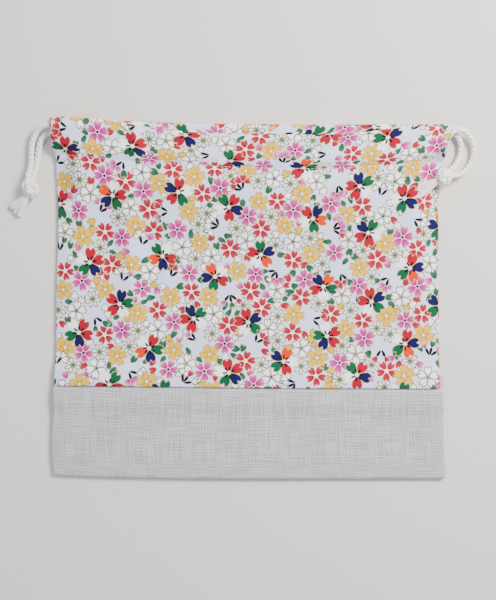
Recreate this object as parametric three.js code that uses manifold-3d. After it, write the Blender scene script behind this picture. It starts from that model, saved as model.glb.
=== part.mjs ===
// A flat drawstring pouch: a front and a back of printed cotton, a linen base folded at the bottom,
// and two cords that run through the casings in opposite directions and are knotted at the sides.
// Millimetres. The pouch lies on its back, its mouth towards +Y and its front face up.

import * as THREE from 'three';
import { mergeVertices } from 'three/addons/utils/BufferGeometryUtils.js';
import Module from 'manifold-3d';

const wasm = await Module();
wasm.setup();

const { smoothstep } = THREE.MathUtils;

// Overall sizes
const pouchHeight = 233.8; // bottom fold to the higher corner of the mouth
const topWidth = 257;
const waistWidth = 244;
const baseWidth = 250;
const baseHeight = 58; // linen band, bottom fold to seam
const flareHeight = 52; // stretch below the mouth over which the sides spread

// Casing and slits
const casingHeight = 24; // mouth edge to the casing's stitch line
const slitDepth = 24; // mouth edge to the top of the side seam
const facingShare = 0.83; // the turned-in facing's width, as a share of the front's
const mouthLean = 3.1; // the left corner of the mouth stands this much higher, the right lower
const backSag = 3; // the middle of the back's edge hangs this far below its corners
const frontSag = 8.3; // and the front's, so the mouth shows the facing of the back

// Cloth and seams
const cotton = 0.5;
const linen = 0.6;
const gap = 0.3; // between two layers of cloth, and between cloth and cord
const seamAllowance = 8;
const sideAllowance = 9;
const seamFade = 20; // from a seam to where its folded layers lie flat again
const stitchDip = 6; // from the flat cloth to the casing's stitch line
const sideTuck = 4; // the side seams' allowance ends this far below the slits

// Cords
const cordDiameter = 4;
const cordSides = 8;
const cordSteps = 80;
const knotSize = new THREE.Vector3(11.2, 12.4, 9.6);

// Levels along the pouch
const bottomY = -pouchHeight / 2;
const topY = pouchHeight / 2 - mouthLean;
const seamY = bottomY + baseHeight;
const stitchY = topY - casingHeight;

// Heights of the middles of the layers, from the table up
const casingRoom = cordDiameter + 2 * gap;
const backOuterZ = cotton / 2;
const backFacingZ = backOuterZ + cotton + casingRoom;
const frontFacingZ = backFacingZ + cotton + gap;
const frontCasingZ = frontFacingZ + cotton + casingRoom;
const frontOuterZ = backOuterZ + 3 * (cotton + gap);
const frontStitchZ = frontOuterZ + 0.9 * cotton;
const linenBackZ = linen / 2;
const linenFrontZ = linenBackZ + 3 * (linen + gap);

// The same at the seam between cotton and linen, where each panel has three layers
const backTurnZ = backOuterZ + cotton + gap;
const backLinenTurnZ = backTurnZ + cotton / 2 + gap + linen / 2;
const frontLinenTurnZ = backLinenTurnZ + linen + gap;
const frontTurnZ = frontLinenTurnZ + linen / 2 + gap + cotton / 2;
const frontSeamZ = frontTurnZ + cotton + gap;
const linenSeamZ = frontSeamZ + cotton / 2 - linen / 2;

// How finely things are divided
const longStep = 16; // along flat stretches
const bendSteps = 5; // round each small fold
const acrossSteps = 16;
const tucked = 0.94; // thickness of a strip joined inside another, so that their faces stay apart

const printedCotton = new THREE.MeshStandardMaterial({ color: 0xdcdcea, roughness: 0.85 });
const naturalLinen = new THREE.MeshStandardMaterial({ color: 0xc4c2c3, roughness: 0.9 });
const whiteCord = new THREE.MeshStandardMaterial({ color: 0xf1f0ec, roughness: 0.9 });

// Half the width of the pouch at a height: wide at the base, a waist, and sides that spread at the mouth.
function halfWidth(y) {
  const flare = smoothstep(y, topY - flareHeight, topY);
  const spread = 1 - smoothstep(y, seamY, seamY + seamAllowance);
  return (waistWidth + (topWidth - waistWidth) * flare + (baseWidth - waistWidth) * spread) / 2;
}

// How far the lie of the cloth moves a point up or down, at u from -1, the left side, to 1, the right.
function lift(u, y, sag) {
  const share = smoothstep(y, 0, stitchY);
  return -share * (sag * (1 - u * u) + mouthLean * u);
}

// The points of a path of straight, round and free stretches.
function pointsAlong(path) {
  return path.curves.flatMap((curve, i) => {
    const steps = curve.isLineCurve ? Math.ceil(curve.getLength() / longStep) : bendSteps;
    return curve.getSpacedPoints(steps).slice(i === 0 ? 0 : 1);
  });
}

// The side view of a strip of cloth: its middle line with half its thickness on either side.
function clothSection(path, thickness) {
  const middle = pointsAlong(path);
  const sides = [1, -1].map((side) => middle.map((point, i) => {
    const before = middle[Math.max(i - 1, 0)];
    const after = middle[Math.min(i + 1, middle.length - 1)];
    const along = after.clone().sub(before).normalize();
    const across = new THREE.Vector2(-along.y, along.x).multiplyScalar(side * thickness / 2);
    return point.clone().add(across);
  }));
  return new THREE.Shape([...sides[0], ...sides[1].reverse()]);
}

// Moves each vertex by a rule and gives back a solid with its faces pointing out.
function solidFrom(geometry, rule) {
  const bare = geometry.clone();
  bare.deleteAttribute('normal');
  bare.deleteAttribute('uv');
  const merged = mergeVertices(bare, 1e-4);
  const position = merged.attributes.position;
  const point = new THREE.Vector3();
  for (let i = 0; i < position.count; i += 1) {
    point.fromBufferAttribute(position, i);
    position.setXYZ(i, ...rule(point));
  }
  const triVerts = new Uint32Array(merged.index.array);
  if (signedVolume(position, triVerts) < 0) {
    triVerts.reverse();
  }
  return new wasm.Manifold(new wasm.Mesh({
    numProp: 3,
    vertProperties: new Float32Array(position.array),
    triVerts,
  }));
}

function signedVolume(position, triVerts) {
  const [a, b, c] = [new THREE.Vector3(), new THREE.Vector3(), new THREE.Vector3()];
  let total = 0;
  for (let i = 0; i < triVerts.length; i += 3) {
    a.fromBufferAttribute(position, triVerts[i]);
    b.fromBufferAttribute(position, triVerts[i + 1]);
    c.fromBufferAttribute(position, triVerts[i + 2]);
    total += a.dot(b.cross(c)) / 6;
  }
  return total;
}

function geometryFrom(solid) {
  const { vertProperties, triVerts } = solid.getMesh();
  const geometry = new THREE.BufferGeometry();
  geometry.setAttribute('position', new THREE.BufferAttribute(new Float32Array(vertProperties), 3));
  geometry.setIndex(new THREE.BufferAttribute(new Uint32Array(triVerts), 1));
  geometry.computeVertexNormals();
  return geometry;
}

// A strip that runs from side to side of the pouch, or over a share of its width.
function acrossPouch(path, thickness, share, sag) {
  const settings = { depth: 2, steps: acrossSteps, bevelEnabled: false };
  const geometry = new THREE.ExtrudeGeometry(clothSection(path, thickness), settings);
  return solidFrom(geometry, ({ x: y, y: z, z: depth }) => {
    const u = (depth - 1) * share;
    return [u * halfWidth(y), y + lift(u, y, sag), z];
  });
}

// The cloth that turns in at a side seam: a fold at the edge and an allowance that lies inside.
function sideTurn(side, thickness, outerZ, turnZ, fromY, toY, sag) {
  const radius = Math.abs(outerZ - turnZ) / 2;
  const edge = radius + thickness / 2 - 0.1;
  const downwards = turnZ < outerZ;
  const path = new THREE.Path()
    .moveTo(edge + thickness, outerZ)
    .lineTo(edge, outerZ)
    .absarc(edge, (outerZ + turnZ) / 2, radius, downwards ? Math.PI / 2 : -Math.PI / 2,
      downwards ? Math.PI * 1.5 : Math.PI / 2, !downwards)
    .lineTo(sideAllowance, turnZ);
  const length = toY - fromY;
  const settings = { depth: length, steps: Math.ceil(length / longStep), bevelEnabled: false };
  const section = clothSection(path, tucked * thickness);
  const geometry = new THREE.ExtrudeGeometry(section, settings);
  return solidFrom(geometry, ({ x: inset, y: z, z: depth }) => {
    const y = fromY + depth;
    const x = side * (halfWidth(y) - inset);
    return [x, y + lift(x / halfWidth(y), y, sag), z];
  });
}

function join(solids) {
  return geometryFrom(solids.reduce((whole, solid) => whole.add(solid)));
}

// Front: its edge turned under at the linen seam, the flat body, the casing's outer layer, the fold of
// the mouth, and the facing that comes back down inside to the stitch line.
function frontPanel() {
  const turn = (frontSeamZ - frontTurnZ) / 2;
  const edgeY = seamY + gap + turn + cotton / 2;
  const foldReach = 4;
  const foldZ = (frontCasingZ + frontFacingZ) / 2;
  const outer = new THREE.Path()
    .moveTo(seamY + seamAllowance, frontTurnZ)
    .lineTo(edgeY, frontTurnZ)
    .absarc(edgeY, frontTurnZ + turn, turn, -Math.PI / 2, Math.PI / 2, true)
    .lineTo(seamY + seamAllowance, frontSeamZ)
    .bezierCurveTo(seamY + seamFade - 7, frontSeamZ, seamY + seamFade - 6, frontOuterZ,
      seamY + seamFade, frontOuterZ)
    .lineTo(stitchY - stitchDip, frontOuterZ)
    .bezierCurveTo(stitchY - stitchDip / 2, frontOuterZ, stitchY - stitchDip / 3, frontStitchZ,
      stitchY, frontStitchZ)
    .splineThru([
      new THREE.Vector2(stitchY + 1.3, frontStitchZ + 3.2),
      new THREE.Vector2(stitchY + 2.4, frontCasingZ - 1.7),
      new THREE.Vector2(stitchY + 3.8, frontCasingZ - 0.3),
      new THREE.Vector2(stitchY + 6, frontCasingZ),
    ])
    .lineTo(topY - foldReach, frontCasingZ)
    .absellipse(topY - foldReach, foldZ, foldReach - cotton / 2, frontCasingZ - foldZ,
      Math.PI / 2, -Math.PI / 2, true)
    .lineTo(topY - foldReach - 1, frontFacingZ);
  const facing = new THREE.Path()
    .moveTo(topY - foldReach, frontFacingZ)
    .lineTo(stitchY + 3.4, frontFacingZ)
    .splineThru([
      new THREE.Vector2(stitchY + 1.8, frontFacingZ - 1.1),
      new THREE.Vector2(stitchY + 0.4, frontOuterZ + 0.7),
      new THREE.Vector2(stitchY - 0.6, frontOuterZ + 0.1),
    ]);
  const turnIn = frontOuterZ - cotton - gap;
  const sides = [-1, 1].map((side) => sideTurn(side, cotton, frontOuterZ, turnIn,
    seamY + seamFade, topY - slitDepth - sideTuck, frontSag));
  return join([
    acrossPouch(outer, cotton, 1, frontSag),
    acrossPouch(facing, tucked * cotton, facingShare, frontSag),
    ...sides,
  ]);
}

// Back: the same cut, with its outer layer flat on the table and the facing over the cords.
function backPanel() {
  const turn = (backTurnZ - backOuterZ) / 2;
  const edgeY = seamY + gap + turn + cotton / 2;
  const foldReach = 3;
  const foldZ = (backOuterZ + backFacingZ) / 2;
  const outer = new THREE.Path()
    .moveTo(seamY + seamAllowance, backTurnZ)
    .lineTo(edgeY, backTurnZ)
    .absarc(edgeY, backTurnZ - turn, turn, Math.PI / 2, Math.PI * 1.5, false)
    .lineTo(topY - foldReach, backOuterZ)
    .absellipse(topY - foldReach, foldZ, foldReach - cotton / 2, backFacingZ - foldZ,
      -Math.PI / 2, Math.PI / 2, false)
    .lineTo(topY - foldReach - 1, backFacingZ);
  const facing = new THREE.Path()
    .moveTo(topY - foldReach, backFacingZ)
    .lineTo(stitchY + 6, backFacingZ)
    .splineThru([
      new THREE.Vector2(stitchY + 3.6, backFacingZ - 0.5),
      new THREE.Vector2(stitchY + 2, backFacingZ - 2),
      new THREE.Vector2(stitchY, backOuterZ + 0.9 * cotton),
    ]);
  const sides = [-1, 1].map((side) => sideTurn(side, cotton, backOuterZ, backTurnZ,
    seamY + seamFade, topY - slitDepth - sideTuck, backSag));
  return join([
    acrossPouch(outer, cotton, 1, backSag),
    acrossPouch(facing, tucked * cotton, facingShare, backSag),
    ...sides,
  ]);
}

// Base: one piece of linen, from its allowance inside the back, down the back, round the bottom fold,
// up the front and in again at the front's seam.
function linenBase() {
  const backStep = (backLinenTurnZ - linenBackZ) / 2;
  const frontStep = (linenSeamZ - frontLinenTurnZ) / 2;
  const fold = (linenFrontZ - linenBackZ) / 2;
  const foldY = bottomY + fold + linen / 2;
  const path = new THREE.Path()
    .moveTo(seamY + seamAllowance, backLinenTurnZ)
    .lineTo(seamY, backLinenTurnZ)
    .absarc(seamY, backLinenTurnZ - backStep, backStep, Math.PI / 2, Math.PI, false)
    .absarc(seamY - 2 * backStep, linenBackZ + backStep, backStep, 0, -Math.PI / 2, true)
    .lineTo(foldY, linenBackZ)
    .absarc(foldY, linenBackZ + fold, fold, -Math.PI / 2, Math.PI / 2, true)
    .lineTo(seamY - seamFade, linenFrontZ)
    .bezierCurveTo(seamY - seamFade + 6, linenFrontZ, seamY - seamFade + 7, linenSeamZ,
      seamY - seamAllowance, linenSeamZ)
    .lineTo(seamY - 2 * frontStep, linenSeamZ)
    .absarc(seamY - 2 * frontStep, linenSeamZ - frontStep, frontStep, Math.PI / 2, 0, true)
    .absarc(seamY, frontLinenTurnZ + frontStep, frontStep, Math.PI, Math.PI * 1.5, false)
    .lineTo(seamY + seamAllowance, frontLinenTurnZ);
  const fromY = foldY + linen;
  const sides = [-1, 1].flatMap((side) => [
    sideTurn(side, linen, linenBackZ, linenBackZ + linen + gap, fromY, seamY - seamFade, 0),
    sideTurn(side, linen, linenFrontZ, linenFrontZ - linen - gap, fromY, seamY - seamFade, 0),
  ]);
  return join([acrossPouch(path, linen, 1, 0), ...sides]);
}

// A round cord along a smooth curve through its points.
function cord(points) {
  const curve = new THREE.CatmullRomCurve3(points.map((point) => new THREE.Vector3(...point)));
  const circle = new THREE.Shape();
  circle.absarc(0, 0, cordDiameter / 2, 0, 2 * Math.PI, false);
  return new THREE.ExtrudeGeometry(circle, {
    steps: cordSteps,
    extrudePath: curve,
    curveSegments: cordSides / 2,
    bevelEnabled: false,
  });
}

// The rounded lump that an overhand knot in two strands makes.
function knot() {
  return new THREE.SphereGeometry(0.5, 20, 14).scale(knotSize.x, knotSize.y, knotSize.z);
}

// The frayed ends below a knot: a flat brush that spreads from the knot to its tips.
function frayedEnds(length, tipWidth, tipThickness) {
  const rootWidth = 5.6;
  const rootThickness = 4.4;
  const stations = 6;
  const geometry = new THREE.CylinderGeometry(1, 1, 1, 14, stations);
  return geometryFrom(solidFrom(geometry, ({ x, y, z }) => {
    const share = 0.5 - y;
    const width = rootWidth + (tipWidth - rootWidth) * smoothstep(share, 0, 1);
    const thickness = rootThickness + (tipThickness - rootThickness) * share;
    const tip = 1 - 0.12 * x * x * smoothstep(share, 0.6, 1);
    return [x * width / 2, -share * length * tip, z * thickness / 2];
  }));
}

// The left cord: up the outer strand from its knot, through the front casing to the right slit, round
// into the back casing and home, out at the left slit and down the inner strand.
const leftCordPoints = [
  [-141.7, 77.6, 5.2], [-140.9, 81.5, 3.6], [-140.4, 86, 2.6], [-140.4, 92, 2.3],
  [-139.9, 97.8, 2.5], [-138.2, 102.8, 3.2], [-135.2, 106.6, 4.6], [-130.6, 108.9, 6.8],
  [-124.5, 109.5, 8.4], [-116, 109.1, 8.7], [-102, 107.1, 8.7], [-51, 101.5, 8.7],
  [0, 99.1, 8.7], [51, 99.2, 8.7], [102, 101.9, 8.7], [111, 102.8, 8.7],
  [116.4, 100.4, 7.5], [118.2, 97.1, 5.7], [116.4, 93.9, 4], [111, 92.2, 2.8],
  [102, 91.9, 2.8], [51, 91.7, 2.8], [0, 92.4, 2.8], [-51, 94.1, 2.8],
  [-102, 96.7, 2.8], [-113, 97.4, 2.8], [-119, 99.2, 2.8], [-124.5, 103, 2.8],
  [-129.6, 104.5, 2.8], [-133.4, 101.4, 2.6], [-135.2, 96.5, 2.3], [-136.1, 90.5, 2.3],
  [-137, 84, 2.8], [-138.3, 78.9, 4],
];

// The right cord: up the outer strand, through the front casing to the left slit, back through the back
// casing, out at the right slit and down the inner strand.
const rightCordPoints = [
  [129.7, 77.2, 7.2], [133.6, 78.2, 5], [138, 81.2, 3], [141.3, 85.8, 2.3],
  [142.9, 91.6, 2.3], [142.4, 97.6, 2.7], [139.6, 102.8, 4.2], [135, 106, 6.6],
  [130, 105.8, 8.5], [126.4, 102.9, 8.7], [124.4, 98.2, 8.7], [121.4, 93.6, 8.7],
  [116, 91.2, 8.7], [102, 89.9, 8.7], [51, 87.2, 8.7], [0, 87.1, 8.7],
  [-51, 89.5, 8.7], [-102, 95.1, 8.7], [-111, 96.9, 8.7], [-116.4, 99.7, 7.6],
  [-118.2, 103, 5.8], [-116.4, 106.3, 4], [-111, 108.9, 2.8], [-102, 108.6, 2.8],
  [-51, 106, 2.8], [0, 104.4, 2.8], [51, 103.7, 2.8], [102, 103.9, 2.8],
  [116, 104.4, 2.8], [124, 105, 2.8], [129.9, 104.4, 2.8], [133.6, 100.6, 2.5],
  [134.8, 95, 2.3], [133.6, 89, 2.5], [130.9, 84.2, 3.9], [127.7, 80.9, 6.2],
];

const pouch = new THREE.Group();

function place(name, geometry, material, parent = pouch) {
  const mesh = new THREE.Mesh(geometry, material);
  mesh.name = name;
  parent.add(mesh);
  return mesh;
}

place('front_panel', frontPanel(), printedCotton);
place('back_panel', backPanel(), printedCotton);
place('linen_base', linenBase(), naturalLinen);
place('left_drawcord', cord(leftCordPoints), whiteCord);
place('right_drawcord', cord(rightCordPoints), whiteCord);

// The left knot lies on the table beside the pouch, the right one on the pouch's edge.
const leftKnot = place('left_knot', knot(), whiteCord);
leftKnot.position.set(-141.1, 69.4, knotSize.z / 2 + 0.2);

const rightKnot = place('right_knot', knot(), whiteCord);
rightKnot.position.set(122.8, 75.6, frontOuterZ + cotton / 2 + gap + knotSize.z / 2);

const leftEnds = place('left_cord_ends', frayedEnds(14.5, 9.4, 3), whiteCord);
leftEnds.position.set(-145.4, 62.6, 2.6);
leftEnds.rotation.z = THREE.MathUtils.degToRad(-36);

const rightEnds = place('right_cord_ends', frayedEnds(16, 8.6, 3), whiteCord);
rightEnds.position.set(116.5, 71.2, frontOuterZ + cotton / 2 + gap + 2.4);
rightEnds.rotation.z = THREE.MathUtils.degToRad(-62);

export default pouch;
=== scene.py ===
import math
import random

import bpy
import numpy as np
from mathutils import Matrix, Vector


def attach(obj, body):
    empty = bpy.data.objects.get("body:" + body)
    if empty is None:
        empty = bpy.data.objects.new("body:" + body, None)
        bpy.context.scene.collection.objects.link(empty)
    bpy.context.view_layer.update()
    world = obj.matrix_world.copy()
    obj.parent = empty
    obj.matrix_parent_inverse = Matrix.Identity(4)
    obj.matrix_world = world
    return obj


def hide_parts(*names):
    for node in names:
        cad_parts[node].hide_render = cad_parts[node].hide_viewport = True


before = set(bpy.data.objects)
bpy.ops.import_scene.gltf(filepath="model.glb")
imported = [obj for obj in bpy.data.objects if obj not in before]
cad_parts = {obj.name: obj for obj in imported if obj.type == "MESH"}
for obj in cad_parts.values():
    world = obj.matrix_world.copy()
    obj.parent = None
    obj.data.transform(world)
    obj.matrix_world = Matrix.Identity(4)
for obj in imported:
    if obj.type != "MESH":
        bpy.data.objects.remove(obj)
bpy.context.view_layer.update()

mm = 0.001
photoHeight = 600  # pixels
photoScale = 0.643  # millimetres for one pixel of the photograph
fullTurn = 2 * math.pi
anyTurn = (0, 6.28)  # the range of a random direction


def say(stage):
    print("drawstring pouch:", stage)


def fromHex(text, alpha=1.0):  # sRGB hex to linear
    parts = [int(text[i:i + 2], 16) / 255 for i in (0, 2, 4)]
    return [p / 12.92 if p <= 0.04045 else ((p + 0.055) / 1.055) ** 2.4 for p in parts] + [alpha]


def smooth(low, high, value):
    t = np.clip((value - low) / (high - low), 0, 1)
    return t * t * (3 - 2 * t)


# A smooth line through a few (place, amount) pairs
def through(pairs, value):
    places, amounts = np.array(sorted(pairs), dtype=float).T
    slopes = np.gradient(amounts, places)
    value = np.clip(value, places[0], places[-1])
    i = np.clip(np.searchsorted(places, value) - 1, 0, len(places) - 2)
    step = places[i + 1] - places[i]
    t = (value - places[i]) / step
    return (
        (2 * t**3 - 3 * t**2 + 1) * amounts[i]
        + (t**3 - 2 * t**2 + t) * step * slopes[i]
        + (3 * t**2 - 2 * t**3) * amounts[i + 1]
        + (t**3 - t**2) * step * slopes[i + 1]
    )


# How far along a line each of its points lies
def lengthsAlong(points):
    return np.concatenate([[0], np.cumsum(np.linalg.norm(np.diff(points, axis=0), axis=1))])


def pointsAt(wanted, along, points):
    return np.stack([np.interp(wanted, along, axis) for axis in points.T], 1)


# Turns points anticlockwise about the z axis, as seen from above, when they are multiplied by it
def turnBy(degrees):
    a = math.radians(degrees)
    return np.array([[math.cos(a), math.sin(a), 0], [-math.sin(a), math.cos(a), 0], [0, 0, 1]])


def putOut(name, data):
    thing = bpy.data.objects.new(name, data)
    bpy.context.collection.objects.link(thing)
    return thing


# Camera: straight above the table, as the photograph was taken. Millimetres.
view = {"distance": 650, "look": (-1.6, -2.1), "sensor": 24}


def makeCamera():
    data = bpy.data.cameras.new("camera")
    data.sensor_fit = "VERTICAL"
    data.sensor_height = view["sensor"]
    data.lens = view["sensor"] * view["distance"] / (photoHeight * photoScale)
    data.clip_start = 0.01
    camera = putOut("camera", data)
    camera.location = (view["look"][0] * mm, view["look"][1] * mm, view["distance"] * mm)
    bpy.context.scene.camera = camera


makeCamera()
say("camera")


# Sets or links a node's inputs, in turn or by name. A node that is given stands for its first output in use.
def joinInputs(tree, node, *values, **named):
    inUse = [socket for socket in node.inputs if socket.enabled]
    sockets = {socket.name: socket for socket in reversed(inUse)}
    byName = [(sockets[key.replace("_", " ")], value) for key, value in named.items()]
    for socket, value in [*zip(inUse, values), *byName]:
        if isinstance(value, bpy.types.Node):
            value = next(output for output in value.outputs if output.enabled)
        if isinstance(value, bpy.types.NodeSocket):
            tree.links.new(value, socket)
        else:
            socket.default_value = value


# Node helper: adds a node with its settings and links
def addNode(tree, kind, settings=None, *values, **named):
    node = tree.nodes.new(kind)
    for key, value in (settings or {}).items():
        setattr(node, key, value)
    joinInputs(tree, node, *values, **named)
    return node


# A table of nodes: each row is a name, a setting and inputs, and text as an input names an earlier row. The
# setting tells the kind of node; one that isn't listed is the operation of a Math node.
rowKinds = {
    "SMOOTHSTEP": ("ShaderNodeMapRange", "interpolation_type"),
    "LINEAR": ("ShaderNodeMapRange", "interpolation_type"),
    "RGBA": ("ShaderNodeMix", "data_type"),
}


def addTable(tree, value, rows):
    for name, setting, *inputs in rows:
        kind, key = rowKinds.get(setting, ("ShaderNodeMath", "operation"))
        inputs = [value[part] if isinstance(part, str) else part for part in inputs]
        value[name] = addNode(tree, kind, {key: setting}, *inputs)


# A node group with named inputs and outputs. Gives the inputs' values by name.
def newGroup(name, kind, inputs, outputs):
    group = bpy.data.node_groups.new(name, kind)
    for way, sockets in (("INPUT", inputs), ("OUTPUT", outputs)):
        for socket, form in sockets.items():
            group.interface.new_socket(socket, in_out=way, socket_type="NodeSocket" + form)
    given = addNode(group, "NodeGroupInput").outputs
    return group, {socket: given[socket] for socket in inputs}


# A material with its shader and, by name, the places that an attribute of the mesh gives
def newMaterial(name, attribute=None):
    material = bpy.data.materials.new(name)
    material.use_nodes = True
    tree = material.node_tree
    value = {}
    if attribute:
        place = addNode(tree, "ShaderNodeAttribute", {"attribute_name": attribute}).outputs["Vector"]
        split = addNode(tree, "ShaderNodeSeparateXYZ", None, place).outputs
        value = {"place": place, "x": split[0], "y": split[1]}
    return material, tree, tree.nodes["Principled BSDF"], value


# The lie of the pouch, in millimetres. x runs to the right, y to the mouth, z up.
lie = {
    "left": [(118, -127.2), (100, -126.4), (94, -126), (91, -124.9), (80, -124.2), (60, -123.2),
             (40, -123.2), (0, -124.2), (-40, -124.8), (-60, -125.6)],
    "right": [(118, 127), (104, 126.8), (98, 126), (86.6, 123.4), (75, 121.6), (63, 120.3),
              (40, 120.2), (0, 120.4), (-60, 120.8)],
    "frontTop": [(-128, 114.2), (-109, 113.4), (-87, 111), (-71, 108.2), (-55, 105.8), (-36, 103.9),
                 (0, 103.2), (60, 102.9), (70, 103.8), (80, 105), (93, 106.6), (112, 108.2), (128, 108.8)],
    "backTop": [(-128, 116.2), (-87, 112.9), (-45, 111), (0, 110.4), (57, 110.1), (128, 110.4)],
    "frontStitch": [(-128, 91.5), (-101, 88.4), (-32, 83.2), (20, 81.2), (51, 81.2), (102, 84.6),
                    (128, 86.6)],
    "backStitch": [(-128, 92.6), (-60, 88.6), (0, 86.8), (60, 85.8), (128, 86.6)],
    "seam": [(-128, -57.2), (-60, -58), (0, -58.7), (128, -59.3)],
    "baseLeft": [(-56, -125.8), (-75, -126.3), (-95, -126.9), (-110, -126), (-118, -124.8)],
    "baseRight": [(-56, 123.2), (-95, 123.6), (-108, 124.6), (-118, 125)],
    "bottom": [(-128, -114.6), (-90, -116), (-60, -116.6), (128, -116.8)],
}
# The cuts of cloth: how thick, half as wide as the piece lies, the grid's cell, and the allowances folded in
cloth = {
    "cotton": {"thick": 0.5, "half": 124},
    "linen": {"thick": 0.6, "half": 126},
    "cell": 1.3,
    "sideAllowance": 8.5,
    "sideGap": 0.35,
    "seamAllowance": 8,
    "seamGap": 0.95,
}


# A closed mesh with smooth faces and an attribute that says where each point lies on its cloth or strand
def makePiece(name, vertices, faces, materials, attribute, places):
    mesh = bpy.data.meshes.new(name)
    mesh.from_pydata(vertices.tolist(), [], faces)
    mesh.validate()
    mesh.shade_smooth()
    for material in materials:
        mesh.materials.append(material)
    place = mesh.attributes.new(attribute, "FLOAT_VECTOR", "POINT")
    place.data.foreach_set("vector", places.astype(np.float32).ravel())
    return putOut(name, mesh)


# The faces of a sheet's right side: the first ones where it lies to the left of the cloth's path
def rightFaces(laid):
    count = (laid["x"].shape[0] - 1) * (laid["x"].shape[1] - 1)
    first = 0 if laid["rightSide"] > 0 else count
    return slice(first, first + count)


# A cloth as it lies, made into a closed sheet
def gridSheet(name, laid, materials):
    points, flat = pointsOf(laid), laid["flat"]
    rows, columns = points.shape[:2]
    count = rows * columns
    normal = np.cross(np.gradient(points, axis=1), np.gradient(points, axis=0))
    normal /= np.linalg.norm(normal, axis=2, keepdims=True) + 1e-9
    half = normal * laid["thick"] / 2
    shells = np.concatenate([(points + half).reshape(-1, 3), (points - half).reshape(-1, 3)])
    shells[:, 2] = np.maximum(shells[:, 2], 0)  # no cloth goes into the table
    index = np.arange(count).reshape(rows, columns)
    quads = np.stack([index[:-1, :-1], index[:-1, 1:], index[1:, 1:], index[1:, :-1]], -1).reshape(-1, 4)
    border = np.concatenate([index[0, :-1], index[:-1, -1], index[-1, :0:-1], index[:0:-1, 0]])
    after = np.roll(border, -1)
    rim = np.stack([border, border + count, after + count, after], -1)
    faces = np.concatenate([quads, quads[:, ::-1] + count, rim])
    places = np.zeros((2 * count, 3))
    places[:, :2] = np.tile(flat.reshape(-1, 2), (2, 1))
    piece = makePiece(name, shells * mm, faces.tolist(), materials, "cloth", places)
    isRight = np.zeros(len(faces), dtype=bool)
    isRight[rightFaces(laid)] = True
    slots = np.where(isRight, 0, len(materials) - 1).astype(np.int32)
    piece.data.polygons.foreach_set("material_index", slots)
    addBakeMap(piece.data, faces, flat, isRight, len(rim))
    return piece


# The map for the export, as sizes and corners: the right side of the cloth takes three quarters of it, the
# wrong side the rest, and the rim's outer edge goes a little past the wrong side
bakeMap = {
    "right": ((0.98, 0.74), (0.01, 0.25)),
    "wrong": ((0.94, 0.19), (0.03, 0.025)),
    "wrongMiddle": (0.5, 0.12),
    "rimWide": 0.012,
}


def addBakeMap(mesh, faces, flat, isRight, rimCount):
    low, high = flat.min((0, 1)), flat.max((0, 1))
    share = ((flat - low) / (high - low)).reshape(-1, 2)
    uv = np.concatenate([share, share])[faces]
    (rightSize, rightCorner), (wrongSize, wrongCorner) = bakeMap["right"], bakeMap["wrong"]
    uv = np.where(isRight[:, None, None], uv * rightSize + rightCorner, uv * wrongSize + wrongCorner)
    isOuter = faces < len(share)
    isOuter[:-rimCount] = False
    uv += np.where(isOuter[..., None], bakeMap["rimWide"] * np.sign(uv - bakeMap["wrongMiddle"]), 0)
    mesh.uv_layers.new(name="OFBake").data.foreach_set("uv", uv.astype(np.float32).ravel())


# The print: traditional cherry blossoms scattered by a seeded packing. Sizes in millimetres.
blossomPrint = {
    "width": 276,
    "length": 216,
    "cell": 0.8,
    "softness": 0.13,
    "petalLength": 6.4,
    "twigLength": 5.6,
    "twigToPetal": 0.85,
    "sprayPetal": 0.86,
    "fan": 1.1,
    "choices": 12,
    "nearby": 21,
    "seeds": {"front": 7, "back": 23},
    # the free room that a kind needs, the room it takes, how many at most, and how far apart they stay
    "festive": (7.4, 7.2, 60, 31),
    "spray": (7.0, 6.6, 46, 26),
    "blossom": (5.7, 5.9, 900),
    "manyPetal": (4.3, 4.7, 200),
    "petal": (1.9, 2.5, 1300),
}
inks = {
    "ground": "DCE3FC", "groundShade": "D0D8F2", "tipTint": "FFD8F0", "black": "020104", "red": "A20026",
    "pink": "B0007C", "yellow": "E4B200", "green": "005434", "navy": "06034A", "orange": "DC3400",
    "white": "FBFEFF", "gold": "685A00", "oldGold": "8E6A00", "paleGold": "CDB978", "cream": "FBEBD2",
    "greenWhite": "EEF4E4", "leafLine": "04603A",
}
inks = {name: fromHex(text) for name, text in inks.items()}

# The motifs' forms: what a kind doesn't give is as under any. Radii and widths of lines are in millimetres,
# and a petal's width and notch are shares of the radius.
motifForms = {
    "any": {"radius": 7.2, "petals": 5, "width": 0.35, "notch": 0.19, "tone": 0.0, "fills": ["white"],
            "line": "gold", "lineWidth": 0.5, "heart": "white", "heartRadius": 0.75, "stamens": 0.0},
    "red": {"tone": 0.06, "fills": ["red"], "line": "cream", "lineWidth": 0.3, "heartRadius": 0.85},
    "pink": {"tone": 0.2, "fills": ["pink"], "line": "cream", "lineWidth": 0.22, "heart": "navy",
             "heartRadius": 0.95},
    "yellow": {"tone": 0.08, "fills": ["yellow"], "line": "oldGold", "lineWidth": 0.34, "heartRadius": 0.7},
    "white": {"heartRadius": 0.8},
    "festive": {"radius": 9.9, "width": 0.36, "notch": 0.2, "line": "paleGold", "lineWidth": 0.3,
                "heart": "cream", "heartRadius": 0.9, "stamens": 1.0},
    "manyPetal": {"radius": 5.8, "petals": 8, "width": 0.2, "notch": 0.08, "fills": ["greenWhite"],
                  "lineWidth": 0.4, "heart": "green", "heartRadius": 0.8},
    "petal": {"petals": 1, "width": 0.36, "heartRadius": 0.0},
    "leaf": {"petals": 1, "width": 0.26, "notch": 0.0, "tone": 0.05, "fills": ["green"], "line": "leafLine",
             "lineWidth": 0.2, "heartRadius": 0.0},
    "twig": {"petals": 1, "width": 0.17, "notch": 0.0, "fills": ["black"], "line": "black", "lineWidth": 0.1,
             "heartRadius": 0.0},
}
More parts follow.
